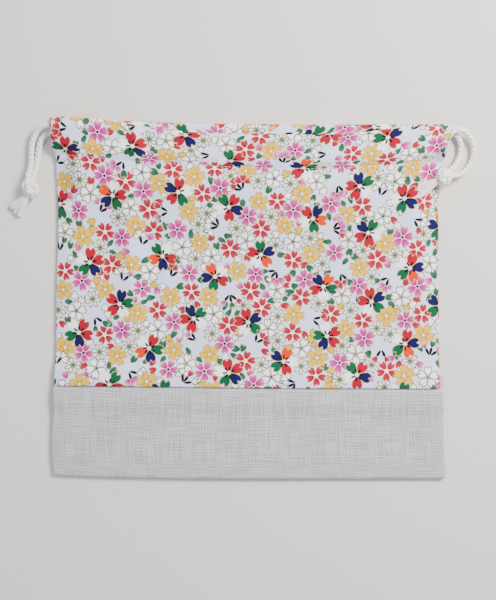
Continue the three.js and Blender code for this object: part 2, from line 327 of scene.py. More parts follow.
festiveWheels = [
    ["red", "green", "white", "red", "navy"], ["green", "orange", "navy", "red", "white"],
    ["red", "red", "white", "green", "navy"], ["navy", "green", "red", "white", "orange"],
]
# The outline of a petal in shares of the radius: an oval that widens towards its tip, less a notch
petalForm = {"middle": 0.56, "half": 0.44, "root": 0.6, "widening": 0.65, "least": 0.2, "notchSlope": 1.35,
             "notchSoft": 0.6}
# The short stamens round a festive blossom's heart, in millimetres
stamens = {"count": 7, "middle": 2.75, "half": 1.35, "thick": 0.58, "ring": 4.2}


# One motif of the print: where it is, its form and its colours
def motif(kind, x, y, turn, draw, tint=None):
    size = draw.uniform(0.93, 1.05)
    row = motifForms["any"] | motifForms[kind] | {"cx": x, "cy": y, "turn": turn}
    if kind in inks:
        row["radius"] *= size
    if kind == "white":
        row["heart"] = draw.choice(["navy", "gold"])
    if kind == "festive":
        row["fills"] = draw.choice(festiveWheels)
    if kind in ("petal", "leaf", "twig"):
        row["radius"] = blossomPrint["petalLength"] / (2 * petalForm["half"]) * draw.uniform(0.8, 1.05)
        tint = tint or draw.choice(["red", "pink", "yellow", "green", "white", "white", "green"])
    if kind == "petal":
        row |= {"fills": [tint], "tone": 0.4 if tint == "pink" else 0.05}
        if tint in ("red", "pink", "green"):
            row |= {"line": "cream", "lineWidth": 0.18}
    if kind == "twig":
        row["radius"] = blossomPrint["twigLength"]
    return row


def scatterPrint(seed):
    draw = random.Random(seed)
    spots = np.random.default_rng(seed)
    width, length, cell = (blossomPrint[key] for key in ("width", "length", "cell"))
    xs, ys = np.meshgrid(np.arange(-width / 2, width / 2, cell), np.arange(0, length, cell))
    farAway = 99.0
    room = np.full(xs.shape, farAway)
    rows, sorts = [], []

    # places one kind after another as close to what is there as it fits
    def put(need, take, most, apart=0.0):
        own = np.full(xs.shape, farAway)
        for _ in range(most):
            free = np.flatnonzero((room > need) & (own > apart))
            if not len(free):
                return
            picks = spots.choice(free, min(len(free), blossomPrint["choices"]))
            spot = picks[np.argmin(room.flat[picks])]
            x, y = xs.flat[spot], ys.flat[spot]
            away = np.hypot(xs - x, ys - y)
            np.minimum(room, away - take, out=room)
            np.minimum(own, away, out=own)
            yield x, y

    def add(kind, x, y, turn, tint=None):
        rows.append(motif(kind, x, y, turn, draw, tint))

    for x, y in put(*blossomPrint["festive"]):
        add("festive", x, y, draw.uniform(*anyTurn))
    for x, y in put(*blossomPrint["spray"]):  # black twigs with a petal or a fan of three at the end of each
        turn = draw.uniform(*anyTurn)
        for bend in draw.choice([(-0.5, 0.5), (-0.7, 0.1, 0.8), (0.0, 0.75)]):
            way = turn + bend
            add("twig", x, y, way)
            reach = blossomPrint["twigLength"] * blossomPrint["twigToPetal"]
            tipX, tipY = x + reach * math.cos(way), y + reach * math.sin(way)
            tint = draw.choice(["red", "pink", "white", "green"])
            fan = (-1, 0, 1) if tint != "green" and draw.random() < 0.5 else (0,)
            for spread in (blossomPrint["fan"] * part for part in fan):
                add("petal", tipX, tipY, way + spread + draw.uniform(-0.1, 0.1), tint)
                rows[-1]["radius"] *= blossomPrint["sprayPetal"]
    for x, y in put(*blossomPrint["blossom"]):  # of the colour that is rarest nearby
        near = {colour: 0 for colour in ("red", "pink", "yellow", "white")}
        for (px, py), colour in sorts:
            if math.hypot(px - x, py - y) < blossomPrint["nearby"]:
                near[colour] += 1
        fewest = min(near.values())
        kind = draw.choice([colour for colour in near if near[colour] == fewest])
        sorts.append(((x, y), kind))
        add(kind, x, y, draw.uniform(*anyTurn))
    for x, y in put(*blossomPrint["manyPetal"]):
        add("manyPetal", x, y, draw.uniform(*anyTurn))
    for x, y in put(*blossomPrint["petal"]):
        kind = draw.choice(["petal", "petal", "petal", "leaf"])
        turn = draw.uniform(*anyTurn)
        reach = petalForm["middle"] * blossomPrint["petalLength"] / (2 * petalForm["half"])
        add(kind, x - reach * math.cos(turn), y - reach * math.sin(turn), turn)
    rows.sort(key=lambda row: row["width"] > motifForms["twig"]["width"])  # twigs lie on top
    return rows


# How far inside a motif's outline each point lies, negative outside, and the number of its petal
def petalDepth(row, x, y):
    dx, dy = x - row["cx"], y - row["cy"]
    sector = fullTurn / row["petals"]
    angle = np.arctan2(dy, dx) - row["turn"]
    petal = np.round(angle / sector)
    angle -= petal * sector
    reach = np.hypot(dx, dy)
    px, py = reach * np.cos(angle) / row["radius"], reach * np.sin(angle) / row["radius"]
    form = petalForm
    wide = row["width"] * np.maximum(form["root"] + form["widening"] * px, form["least"])
    oval = (1 - np.sqrt(((px - form["middle"]) / form["half"]) ** 2 + (py / wide) ** 2)) * row["width"]
    notch = (1 - row["notch"] - px + form["notchSlope"] * np.abs(py)) * form["notchSoft"]
    depth = np.minimum(oval, notch) * row["radius"]
    centre = max(row["heartRadius"], stamens["ring"] * row["stamens"])
    return np.maximum(depth, centre - reach), petal.astype(int)


# What a face says of one motif: four numbers, or a colour and a number
motifParts = {
    "place": ("cx", "cy", "turn", "stamens"),
    "form": ("radius", "petals", "width", "notch"),
    "fill": ("fill", "tone"),
    "line": ("line", "lineWidth"),
    "heart": ("heart", "heartRadius"),
}
emptyMotif = {"place": (-900, 0, 0, 0), "form": (1, 5, 0.3, 0.1)}  # far off the cloth
orders = "ABC"  # the motifs that a face can show, the topmost first


# Gives each printed face the motifs that can show on it. Each face is probed at 4 x 4 points for a motif.
def printOnto(piece, laid, motifs):
    flat = laid["flat"]
    rows, columns = flat.shape[0] - 1, flat.shape[1] - 1
    centre = (flat[:-1, :-1] + flat[1:, 1:]) / 2
    us, vs = centre[0, :, 0], centre[:, 0, 1]
    taken = np.zeros((rows, columns), dtype=int)
    layers = {}
    for order in orders:
        for part in motifParts:
            layers[part + order] = np.zeros((rows, columns, 4), dtype=np.float32)
            layers[part + order][:] = emptyMotif.get(part, 0)
    probes = np.linspace(-0.55, 0.55, 4) * cloth["cell"]
    margin = 1.5
    for row in motifs:
        far = row["radius"] + margin
        c0, c1 = np.searchsorted(us, [row["cx"] - far, row["cx"] + far])
        r0, r1 = np.searchsorted(vs, [row["cy"] - far, row["cy"] + far])
        if c0 >= c1 or r0 >= r1:
            continue
        x, y = centre[r0:r1, c0:c1, 0], centre[r0:r1, c0:c1, 1]
        petal = petalDepth(row, x, y)[1]
        depth = np.max([petalDepth(row, x + dx, y + dy)[0] for dx in probes for dy in probes], axis=0)
        rr, cc = np.nonzero((depth > -blossomPrint["softness"]) & (taken[r0:r1, c0:c1] < len(orders)))
        fills = np.array([inks[name] for name in row["fills"]], np.float32)
        fills = fills[petal[rr, cc] % len(fills)]
        fills[:, 3] = row["tone"]
        rr, cc = rr + r0, cc + c0
        for number, order in enumerate(orders):
            here = taken[rr, cc] == number
            spot = (rr[here], cc[here])
            for part in ("place", "form"):
                layers[part + order][spot] = [row[name] for name in motifParts[part]]
            for part in ("line", "heart"):
                layers[part + order][spot] = (*inks[row[part]][:3], row[motifParts[part][1]])
            layers["fill" + order][spot] = fills[here]
        taken[rr, cc] += 1
    mesh = piece.data
    for name, values in layers.items():
        data = np.zeros((len(mesh.polygons), 4), dtype=np.float32)
        data[rightFaces(laid)] = values.reshape(-1, 4)
        mesh.attributes.new(name, "FLOAT_COLOR", "FACE").data.foreach_set("color", data.ravel())


# A node group that draws one motif from a face's attributes: its colour, and how much of it covers the ground
def makePetalGroup():
    names = ["x", "y"] + [name for part in motifParts.values() for name in part]
    inputs = {name: "Color" if name in motifParts else "Float" for name in names}
    outputs = {"colour": "Color", "cover": "Float"}
    group, value = newGroup("printed blossom", "ShaderNodeTree", inputs, outputs)
    soft, form = blossomPrint["softness"], petalForm
    addTable(group, value, [
        ("dx", "SUBTRACT", "x", "cx"),
        ("dy", "SUBTRACT", "y", "cy"),
        ("angle", "ARCTAN2", "dy", "dx"),
        ("turned", "SUBTRACT", "angle", "turn"),
        ("sector", "DIVIDE", fullTurn, "petals"),
        ("share", "DIVIDE", "turned", "sector"),
        ("nearest", "ROUND", "share"),
        ("offset", "SUBTRACT", "share", "nearest"),
        ("bend", "MULTIPLY", "offset", "sector"),
        ("dySquared", "MULTIPLY", "dy", "dy"),
        ("reachSquared", "MULTIPLY_ADD", "dx", "dx", "dySquared"),
        ("reach", "SQRT", "reachSquared"),
        ("reachShare", "DIVIDE", "reach", "radius"),
        ("cosine", "COSINE", "bend"),
        ("sine", "SINE", "bend"),
        ("px", "MULTIPLY", "reachShare", "cosine"),
        ("pySigned", "MULTIPLY", "reachShare", "sine"),
        ("py", "ABSOLUTE", "pySigned"),
        # a petal is an oval that widens towards its tip, less a notch
        ("widened", "MULTIPLY_ADD", "px", form["widening"], form["root"]),
        ("kept", "MAXIMUM", "widened", form["least"]),
        ("wide", "MULTIPLY", "kept", "width"),
        ("alongOval", "SUBTRACT", "px", form["middle"]),
        ("alongShare", "DIVIDE", "alongOval", form["half"]),
        ("acrossShare", "DIVIDE", "py", "wide"),
        ("acrossSquared", "MULTIPLY", "acrossShare", "acrossShare"),
        ("ovalSquared", "MULTIPLY_ADD", "alongShare", "alongShare", "acrossSquared"),
        ("ovalReach", "SQRT", "ovalSquared"),
        ("ovalShare", "SUBTRACT", 1.0, "ovalReach"),
        ("oval", "MULTIPLY", "ovalShare", "width"),
        ("notchFrom", "SUBTRACT", 1.0, "notch"),
        ("notchEdge", "MULTIPLY_ADD", "py", form["notchSlope"], "notchFrom"),
        ("notchShare", "SUBTRACT", "notchEdge", "px"),
        ("notchDepth", "MULTIPLY", "notchShare", form["notchSoft"]),
        ("petalShare", "MINIMUM", "oval", "notchDepth"),
        ("petalDepth", "MULTIPLY", "petalShare", "radius"),
        ("heartDepth", "SUBTRACT", "heartRadius", "reach"),
        ("pastLine", "SUBTRACT", "petalDepth", "lineWidth"),
        # short stamens round the heart
        ("spokes", "MULTIPLY", "turned", stamens["count"] / fullTurn),
        ("nearSpoke", "ROUND", "spokes"),
        ("spokeShare", "SUBTRACT", "spokes", "nearSpoke"),
        ("spokeBend", "MULTIPLY", "spokeShare", fullTurn / stamens["count"]),
        ("spokeSine", "SINE", "spokeBend"),
        ("spokeOff", "MULTIPLY", "spokeSine", "reach"),
        ("spokeAway", "ABSOLUTE", "spokeOff"),
        ("spokeEnd", "SUBTRACT", "reach", stamens["middle"]),
        ("spokeFar", "ABSOLUTE", "spokeEnd"),
        ("spokeLong", "SUBTRACT", stamens["half"], "spokeFar"),
        ("spokeThin", "SUBTRACT", stamens["thick"], "spokeAway"),
        ("stamenDepth", "MINIMUM", "spokeLong", "spokeThin"),
        # what of the motif shows where, and its colours one over the other
        *((part + "Cover", "SMOOTHSTEP", part + "Depth", -soft, soft, 0.0, 1.0)
          for part in ("petal", "heart", "stamen")),
        ("lineCover", "SMOOTHSTEP", "pastLine", -soft, soft, 1.0, 0.0),
        ("toTip", "SMOOTHSTEP", "px", 0.25, 1.0, 0.0, 1.0),
        ("tipShare", "MULTIPLY", "toTip", "tone"),
        ("stamenShare", "MULTIPLY", "stamenCover", "stamens"),
        ("paled", "RGBA", "tipShare", "fill", inks["tipTint"]),
        ("lined", "RGBA", "lineCover", "paled", "line"),
        ("hearted", "RGBA", "heartCover", "lined", "heart"),
        ("inked", "RGBA", "stamenShare", "hearted", inks["black"]),
        ("blossomCover", "MAXIMUM", "petalCover", "heartCover"),
        ("cover", "MAXIMUM", "blossomCover", "stamenShare"),
    ])
    addNode(group, "NodeGroupOutput", None, value["inked"], value["cover"])
    return group


# A plain weave as a height, about 0 to 1: each thread rises over one and dips under the next. The threads'
# spacing is in millimetres, and slubs is how far they wander.
def addWeave(tree, value, threadsApart, slubs):
    value["uneven"] = addNode(tree, "ShaderNodeTexNoise", None, Vector=value["place"], Scale=0.35, Detail=2.0)
    addTable(tree, value, [("wander", "MULTIPLY", "uneven", slubs)])
    for axis in "xy":
        addTable(tree, value, [
            ("moved", "ADD", axis, "wander"),
            ("turns", "MULTIPLY", "moved", math.pi / threadsApart),
            ("wave" + axis, "SINE", "turns"),
            ("gap" + axis, "ABSOLUTE", "wave" + axis),
        ])
    addTable(tree, value, [
        ("crossing", "MULTIPLY", "wavex", "wavey"),
        ("solid", "MAXIMUM", "gapx", "gapy"),
        ("woven", "MULTIPLY_ADD", "crossing", 0.35, "solid"),
    ])


# Ends a material: its colour, the relief of its threads (how strong and how deep, in metres) and its gloss
def finishMaterial(tree, shader, colour, relief, strength, deep, **gloss):
    bump = addNode(tree, "ShaderNodeBump", None, Strength=strength, Distance=deep, Height=relief)
    joinInputs(tree, shader, Base_Color=colour, Normal=bump, **gloss)


cottonWeave = {"threadsApart": 0.42, "slubs": 0.5}
linenWeave = {"threadsApart": 0.95, "slubs": 1.0}  # drawn twice as coarse as real linen, so that it shows


# Printed cotton: matt plain-woven cloth with ink that lies in the threads, so the colours are as rough as the
# ground
def makePrintedCotton(petalGroup):
    material, tree, shader, value = newMaterial("printed cotton", "cloth")
    addWeave(tree, value, **cottonWeave)
    addTable(tree, value, [("colour", "RGBA", "uneven", inks["groundShade"], inks["ground"])])
    for order in reversed(orders):
        given = {"x": value["x"], "y": value["y"]}
        for part, names in motifParts.items():
            read = addNode(tree, "ShaderNodeAttribute", {"attribute_name": part + order}).outputs
            sockets = [read["Color"]]
            if len(names) == 4:
                sockets = list(addNode(tree, "ShaderNodeSeparateColor", None, read["Color"]).outputs)
            given |= zip(names, sockets + [read["Alpha"]])
        drawn = addNode(tree, "ShaderNodeGroup", {"node_tree": petalGroup}, **given).outputs
        value |= {"cover": drawn["cover"], "drawn": drawn["colour"]}
        addTable(tree, value, [("colour", "RGBA", "cover", "colour", "drawn")])
    # painted shade and highlight: the colour is darkened in the gaps between the threads and made a little
    # lighter on their tops
    addTable(tree, value, [("threadShade", "LINEAR", "woven", 0.0, 1.0, 0.9, 1.03)])
    shaded = addNode(tree, "ShaderNodeMix", {"data_type": "RGBA", "blend_type": "MULTIPLY"}, 1.0,
                     value["colour"], value["threadShade"])
    finishMaterial(tree, shader, shaded, value["woven"], 0.3, 0.00012,
                   Roughness=0.85, Specular_IOR_Level=0.25, Sheen_Weight=0.12)
    return material


# The wrong side of the same cloth: the ink shows through as a faint tint
def makeWrongSide():
    material, tree, shader, value = newMaterial("wrong side of printed cotton", "cloth")
    addWeave(tree, value, **cottonWeave)
    value["blots"] = addNode(tree, "ShaderNodeTexNoise", None, Vector=value["place"], Scale=0.12, Detail=3.0)
    addTable(tree, value, [
        ("tint", "LINEAR", "blots", 0.45, 0.75, 0.0, 0.35),
        ("colour", "RGBA", "tint", fromHex("DADDEA"), fromHex("D9B7CB")),
    ])
    finishMaterial(tree, shader, value["colour"], value["woven"], 0.3, 0.00012, Roughness=0.88)
    return material


# Undyed linen: thicker, uneven threads that show as a grey-beige weave with slubs both ways, with painted
# shade in the gaps between them
def makeLinen():
    material, tree, shader, value = newMaterial("undyed linen", "cloth")
    addWeave(tree, value, **linenWeave)
    for way, stretch in (("slubsUp", (0.05, 1.3, 1.0)), ("slubsAcross", (1.3, 0.04, 1.0))):
        drawn = addNode(tree, "ShaderNodeMapping", None, Vector=value["place"], Scale=stretch)
        value[way] = addNode(tree, "ShaderNodeTexNoise", None, Vector=drawn, Scale=1.0, Detail=3.0,
                             Roughness=0.6)
    addTable(tree, value, [
        ("slubs", "ADD", "slubsUp", "slubsAcross"),
        ("slubShare", "LINEAR", "slubs", 0.86, 1.16, 0.0, 1.0),
        ("threads", "RGBA", "slubShare", fromHex("C2C2C6"), fromHex("F2F4FC")),
        # painted shade: where the weave is low, in the gaps between the threads, the colour goes to a dark
        # grey-brown
        ("threadShare", "LINEAR", "woven", 0.35, 1.2, 0.0, 1.0),
        ("colour", "RGBA", "threadShare", fromHex("726C6A"), "threads"),
        ("relief", "ADD", "woven", "slubShare"),
    ])
    finishMaterial(tree, shader, value["colour"], value["relief"], 0.5, 0.00025,
                   Roughness=0.92, Specular_IOR_Level=0.2, Sheen_Weight=0.1)
    return material


# Soft spun cotton cord: bright off-white, very matt, with the yarn's fine lines round each strand
def makeCordCotton():
    material, tree, shader, value = newMaterial("spun cotton cord", "strand")
    value["ragged"] = addNode(tree, "ShaderNodeTexNoise", None, Vector=value["place"], Scale=2.2, Detail=3.0)
    addTable(tree, value, [
        ("slope", "MULTIPLY_ADD", "y", 2.6, "x"),
        ("moved", "MULTIPLY_ADD", "ragged", 1.6, "slope"),
        ("turns", "MULTIPLY", "moved", 3.0),
        ("wave", "SINE", "turns"),
        ("colour", "RGBA", "ragged", fromHex("E9E6E2"), fromHex("FBFAF7")),
    ])
    finishMaterial(tree, shader, value["colour"], value["wave"], 0.35, 0.0002,
                   Roughness=0.9, Specular_IOR_Level=0.2, Sheen_Weight=0.25, Subsurface_Weight=0.15,
                   Subsurface_Radius=(0.0006, 0.0005, 0.0004))
    return material


# Fine sewing thread, a shade darker than the ground of the print
def makeThread():
    material, tree, shader, _ = newMaterial("polyester sewing thread")
    joinInputs(tree, shader, Base_Color=fromHex("E4E4EC"), Roughness=0.6)
    return material


printedCotton = makePrintedCotton(makePetalGroup())
wrongSide = makeWrongSide()
undyedLinen = makeLinen()
cordCotton = makeCordCotton()
sewingThread = makeThread()
say("materials")


# The cords, as the frame has them: every point is the middle of the cord, in metres. into has the two points
# where its ends run on into its knot.
cords = {
    "diameter": 0.004,
    "strandRadius": 0.00108,
    "strandOff": 0.00096,
    "pitch": 0.0093,
    "ringStep": 0.0007,
    "plies": 3,
    "sides": 10,
    "startTurn": 0.6,
    "into": {"left": [(-0.1418, 0.0722, 0.0058), (-0.1396, 0.0725, 0.0050)],
             "right": [(0.1245, 0.0762, 0.0085), (0.1240, 0.0778, 0.0080)]},
    "left": [
        (-0.1417, 0.0776, 0.0052), (-0.1409, 0.0815, 0.0036), (-0.1404, 0.086, 0.0026),
        (-0.1404, 0.092, 0.0023), (-0.1399, 0.0978, 0.0025), (-0.1382, 0.1028, 0.0032),
        (-0.1352, 0.1066, 0.0046), (-0.1306, 0.1089, 0.0068), (-0.1245, 0.1095, 0.0084),
        (-0.116, 0.1091, 0.0087), (-0.102, 0.1071, 0.0087), (-0.051, 0.1015, 0.0087),
        (0.0, 0.0991, 0.0087), (0.051, 0.0992, 0.0087), (0.102, 0.1019, 0.0087), (0.111, 0.1028, 0.0087),
        (0.1164, 0.1004, 0.0075), (0.1182, 0.0971, 0.0057), (0.1164, 0.0939, 0.004), (0.111, 0.0922, 0.0028),
        (0.102, 0.0919, 0.0028), (0.051, 0.0917, 0.0028), (0.0, 0.0924, 0.0028), (-0.051, 0.0941, 0.0028),
        (-0.102, 0.0967, 0.0028), (-0.113, 0.0974, 0.0028), (-0.119, 0.0992, 0.0028),
        (-0.1245, 0.103, 0.0028), (-0.1296, 0.1045, 0.0028), (-0.1334, 0.1014, 0.0026),
        (-0.1352, 0.0965, 0.0023), (-0.1361, 0.0905, 0.0023), (-0.137, 0.084, 0.0028),
        (-0.1383, 0.0789, 0.004),
    ],
    "right": [
        (0.1297, 0.0772, 0.0072), (0.1336, 0.0782, 0.005), (0.138, 0.0812, 0.003), (0.1413, 0.0858, 0.0023),
        (0.1429, 0.0916, 0.0023), (0.1424, 0.0976, 0.0027), (0.1396, 0.1028, 0.0042), (0.135, 0.106, 0.0066),
        (0.13, 0.1058, 0.0085), (0.1264, 0.1029, 0.0087), (0.1244, 0.0982, 0.0087), (0.1214, 0.0936, 0.0087),
        (0.116, 0.0912, 0.0087), (0.102, 0.0899, 0.0087), (0.051, 0.0872, 0.0087), (0.0, 0.0871, 0.0087),
        (-0.051, 0.0895, 0.0087), (-0.102, 0.0951, 0.0087), (-0.111, 0.0969, 0.0087),
        (-0.1164, 0.0997, 0.0076), (-0.1182, 0.103, 0.0058), (-0.1164, 0.1063, 0.004),
        (-0.111, 0.1089, 0.0028), (-0.102, 0.1086, 0.0028), (-0.051, 0.106, 0.0028), (0.0, 0.1044, 0.0028),
        (0.051, 0.1037, 0.0028), (0.102, 0.1039, 0.0028), (0.116, 0.1044, 0.0028), (0.124, 0.105, 0.0028),
        (0.1299, 0.1044, 0.0028), (0.1336, 0.1006, 0.0025), (0.1348, 0.095, 0.0023), (0.1336, 0.089, 0.0025),
        (0.1309, 0.0842, 0.0039), (0.1277, 0.0809, 0.0062),
    ],
}


# Evenly spaced points on a smooth curve through a few, with each stretch as long as its points are apart
def smoothPath(points, step, fine=60):
    points = np.array(points, dtype=float)
    spots = np.concatenate([[2 * points[0] - points[1]], points, [2 * points[-1] - points[-2]]])
    reached = np.sqrt(np.linalg.norm(np.diff(spots, axis=0), axis=1))
    reached = np.concatenate([[0], np.cumsum(reached)])

    def between(a, b, low, high):
        return (high - t) / (high - low) * a + (t - low) / (high - low) * b

    dense = []
    for i in range(1, len(spots) - 2):
        p0, p1, p2, p3 = spots[i - 1:i + 3]
        t0, t1, t2, t3 = reached[i - 1:i + 3]
        t = np.linspace(t1, t2, fine, endpoint=False)[:, None]
        middle = between(p1, p2, t1, t2)
        before = between(between(p0, p1, t0, t1), middle, t0, t2)
        after = between(middle, between(p2, p3, t2, t3), t1, t3)
        dense.append(between(before, after, t1, t2))
    dense = np.concatenate(dense + [points[-1:]])
    along = lengthsAlong(dense)
    wanted = np.linspace(0, along[-1], int(round(along[-1] / step)) + 1)
    return pointsAt(wanted, along, dense), along[-1]


# Directions across a path that turn with it and never twist round it
def framesAlong(path):
    tangent = np.gradient(path, axis=0)
    tangent /= np.linalg.norm(tangent, axis=1, keepdims=True)
    normal = np.zeros_like(path)
    last = np.array((0.0, 0.0, 1.0))
    for i in range(len(path)):
        moved = last - tangent[i] * last.dot(tangent[i])
        last = normal[i] = moved / np.linalg.norm(moved)
    return normal, np.cross(tangent, normal)


# Three strands laid round a path as a left-handed twist. squeeze makes chosen rings thinner.
def twistedStrands(path, length, start=0.0, squeeze=1.0):
    normal, side = framesAlong(path)
    along = np.linspace(0, length, len(path))
    squeeze = np.ones(len(path)) * squeeze
    vertices, faces, strand = [], [], []
    sides = cords["sides"]
    around = np.arange(sides) * 2 * math.pi / sides
    for ply in range(cords["plies"]):
        turn = start + ply * 2 * math.pi / cords["plies"] - along / cords["pitch"] * 2 * math.pi
        outwards = normal * np.cos(turn)[:, None] + side * np.sin(turn)[:, None]
        middle = path + outwards * (cords["strandOff"] * squeeze)[:, None]
        plyNormal, plySide = framesAlong(middle)
        ring = plyNormal[:, None] * np.cos(around)[:, None] + plySide[:, None] * np.sin(around)[:, None]
        tube = middle[:, None] + ring * (cords["strandRadius"] * squeeze)[:, None, None]
        index = ply * len(path) * sides + np.arange(len(path) * sides).reshape(len(path), sides)
        beside = np.roll(index, -1, axis=1)
        faces += np.stack([index[:-1], beside[:-1], beside[1:], index[1:]], -1).reshape(-1, 4).tolist()
        faces += [index[0, ::-1].tolist(), index[-1].tolist()]
        place = np.zeros(tube.shape)
        place[..., 0] = around * cords["strandRadius"] / mm + ply * 20  # 20 apart, so that no two look alike
        place[..., 1] = (along / mm)[:, None]
        vertices.append(tube.reshape(-1, 3))
        strand.append(place.reshape(-1, 3))
    return np.concatenate(vertices), faces, np.concatenate(strand)


drawcords = {}
for side in ("left", "right"):
    before, after = cords["into"][side]
    path, length = smoothPath([before, *cords[side], after], cords["ringStep"])
    vertices, faces, strand = twistedStrands(path, length, cords["startTurn"])
    piece = makePiece(side + "_twisted_cord", vertices, faces, [cordCotton], "strand", strand)
    drawcords[side] = {"piece": piece, "path": path, "length": length}
    say(f"{side} drawcord, {length:.3f} m")


# The cloth pieces. A path runs along the cut cloth as pairs of a level and a height, in millimetres.
def roundTurn(middle, radius, fromAngle, toAngle, squash=1.0, steps=6):
    turns = np.radians(np.linspace(fromAngle, toAngle, steps + 1))
    return [(middle[0] + radius * squash * math.cos(t), middle[1] + radius * math.sin(t)) for t in turns]


def bezier(a, b, c, d, steps=12):
    t = np.linspace(0, 1, steps + 1)[1:, None]
    a, b, c, d = (np.array(p, dtype=float) for p in (a, b, c, d))
    curve = (1 - t) ** 3 * a + 3 * (1 - t) ** 2 * t * b + 3 * (1 - t) * t ** 2 * c + t ** 3 * d
    return [tuple(p) for p in curve]


# The end of a panel's path at the seam: its allowance and the turn from one layer to another
def seamFold(fromHeight, toHeight):
    half = (toHeight - fromHeight) / 2
    edge, way = level["seam"] + cloth["seamGap"], math.copysign(1, half)
    allowance = [(level["seam"] + cloth["seamAllowance"], fromHeight), (edge, fromHeight)]
    return allowance + roundTurn((edge, fromHeight + half), abs(half), -90 * way, -270 * way)


# The turn at the mouth, from the outside to the facing
def mouthFold(fromHeight, toHeight, deep):
    half = (toHeight - fromHeight) / 2
    middle, way = (level["top"] - deep, (fromHeight + toHeight) / 2), math.copysign(1, half)
    return roundTurn(middle, abs(half), -90 * way, 90 * way, deep / abs(half), 14)


# A grid's rows: how fine a path is read, over how many of those points a bend is evened out, and how much
# closer the rows lie where the cloth bends
gridRows = {"fine": 0.25, "evened": 7, "gain": 3.0, "most": 2.2}


def evenly(path, step):
    path = np.array(path, dtype=float)
    keep = np.concatenate([[True], np.linalg.norm(np.diff(path, axis=0), axis=1) > 1e-6])
    path = path[keep]
    along = lengthsAlong(path)
    dense = np.linspace(0, along[-1], int(round(along[-1] / gridRows["fine"])) + 1)
    fine = pointsAt(dense, along, path)
    heading = np.unwrap(np.arctan2(*np.gradient(fine, axis=0).T[::-1]))
    evened = gridRows["evened"]
    bend = np.pad(np.abs(np.gradient(heading)), evened // 2, mode="edge")
    bend = np.convolve(bend, np.ones(evened) / evened, mode="valid")
    density = 1 / step + np.minimum(bend * gridRows["gain"], gridRows["most"])
    total = np.concatenate([[0], np.cumsum((density[1:] + density[:-1]) / 2 * np.diff(dense))])
    wanted = np.linspace(0, total[-1], int(round(total[-1])) + 1)
    spots = np.interp(wanted, total, dense)
    return pointsAt(spots, dense, fine), spots


# The side fold of a panel: how far in from the edge, how far to the wrong side, and the cloth used so far
def sideFold(thickness):
    reach = thickness + cloth["sideGap"]
    turn = [(reach / 2 * (1 - math.sin(t)), reach / 2 * (1 - math.cos(t)))
            for t in np.radians([0, 36, 72, 108, 144, 180])]
    inner = [(cloth["sideAllowance"] * share, reach) for share in (0.35, 0.7, 1.0)]
    points = np.array(turn + inner)
    return points, lengthsAlong(points)


# Heights of the middles of the layers above the table
layer = {
    "front": {"linenTurn": 2.8, "turn": 3.65, "seam": 4.45, "outer": 2.65, "stitch": 3.1, "casing": 11.25,
              "facing": 6.15},
    "back": {"outer": 0.25, "turn": 1.05, "linenTurn": 1.9, "facing": 5.35},
    "linen": {"back": 0.3, "front": 3.0, "seam": 4.4},
}
# The levels that a cloth path is written in; each is moved to its own line of the pouch's lie
level = {"bottom": -116.9, "seam": -58.9, "stitch": 86.0, "top": 110.0}

# A casing's cloth over its cords, in millimetres: how high above a cord's middle it lies and how far to each
# side, how fast it falls beyond that, how far off a cord still counts, from which y the cords are in the
# casings, and how many times the heights are softened
overCord = {"above": 2.45, "flat": 0.5, "fall": 0.03, "reach": 34, "from": 84, "softened": 10}


# How high the cloth of a casing lies: over its cords, and a little lower between them
def overCords(x, y, above, below, floor):
    height = np.full(x.shape, float(floor))
    for cord in drawcords.values():
        path = cord["path"][::4] / mm
        run = path[(path[:, 2] > below) & (path[:, 2] < above) & (path[:, 1] > overCord["from"])]
        for start in range(0, len(run), 12):
            part = run[start:start + 12]
            near = np.abs(x - part[:, 0].mean()) < overCord["reach"]
            away = np.hypot(x[near][:, None] - part[:, 0], y[near][:, None] - part[:, 1])
            fall = overCord["fall"] * np.maximum(away - overCord["flat"], 0) ** 2
            height[near] = np.maximum(height[near], (part[:, 2] + overCord["above"] - fall).max(1))
    for _ in range(overCord["softened"]):
        edged = np.pad(height, 1, mode="edge")
        beside = edged[:-2, 1:-1] + edged[2:, 1:-1] + edged[1:-1, :-2] + edged[1:-1, 2:]
        height = (edged[1:-1, 1:-1] * 4 + beside) / 8
    return height


# Slow seeded unevenness, about 1 high: waves of about one size in all directions
def unevenness(x, y, size, seed, waves=14):
    draw = np.random.default_rng(seed)
    total = np.zeros_like(x)
    for _ in range(waves):
        turn = draw.uniform(0, fullTurn)
        wave = size * draw.uniform(0.7, 1.6)
        along = x * math.cos(turn) + y * math.sin(turn)
        total += np.sin(along * 2 * math.pi / wave + draw.uniform(*anyTurn))
    return total / 4


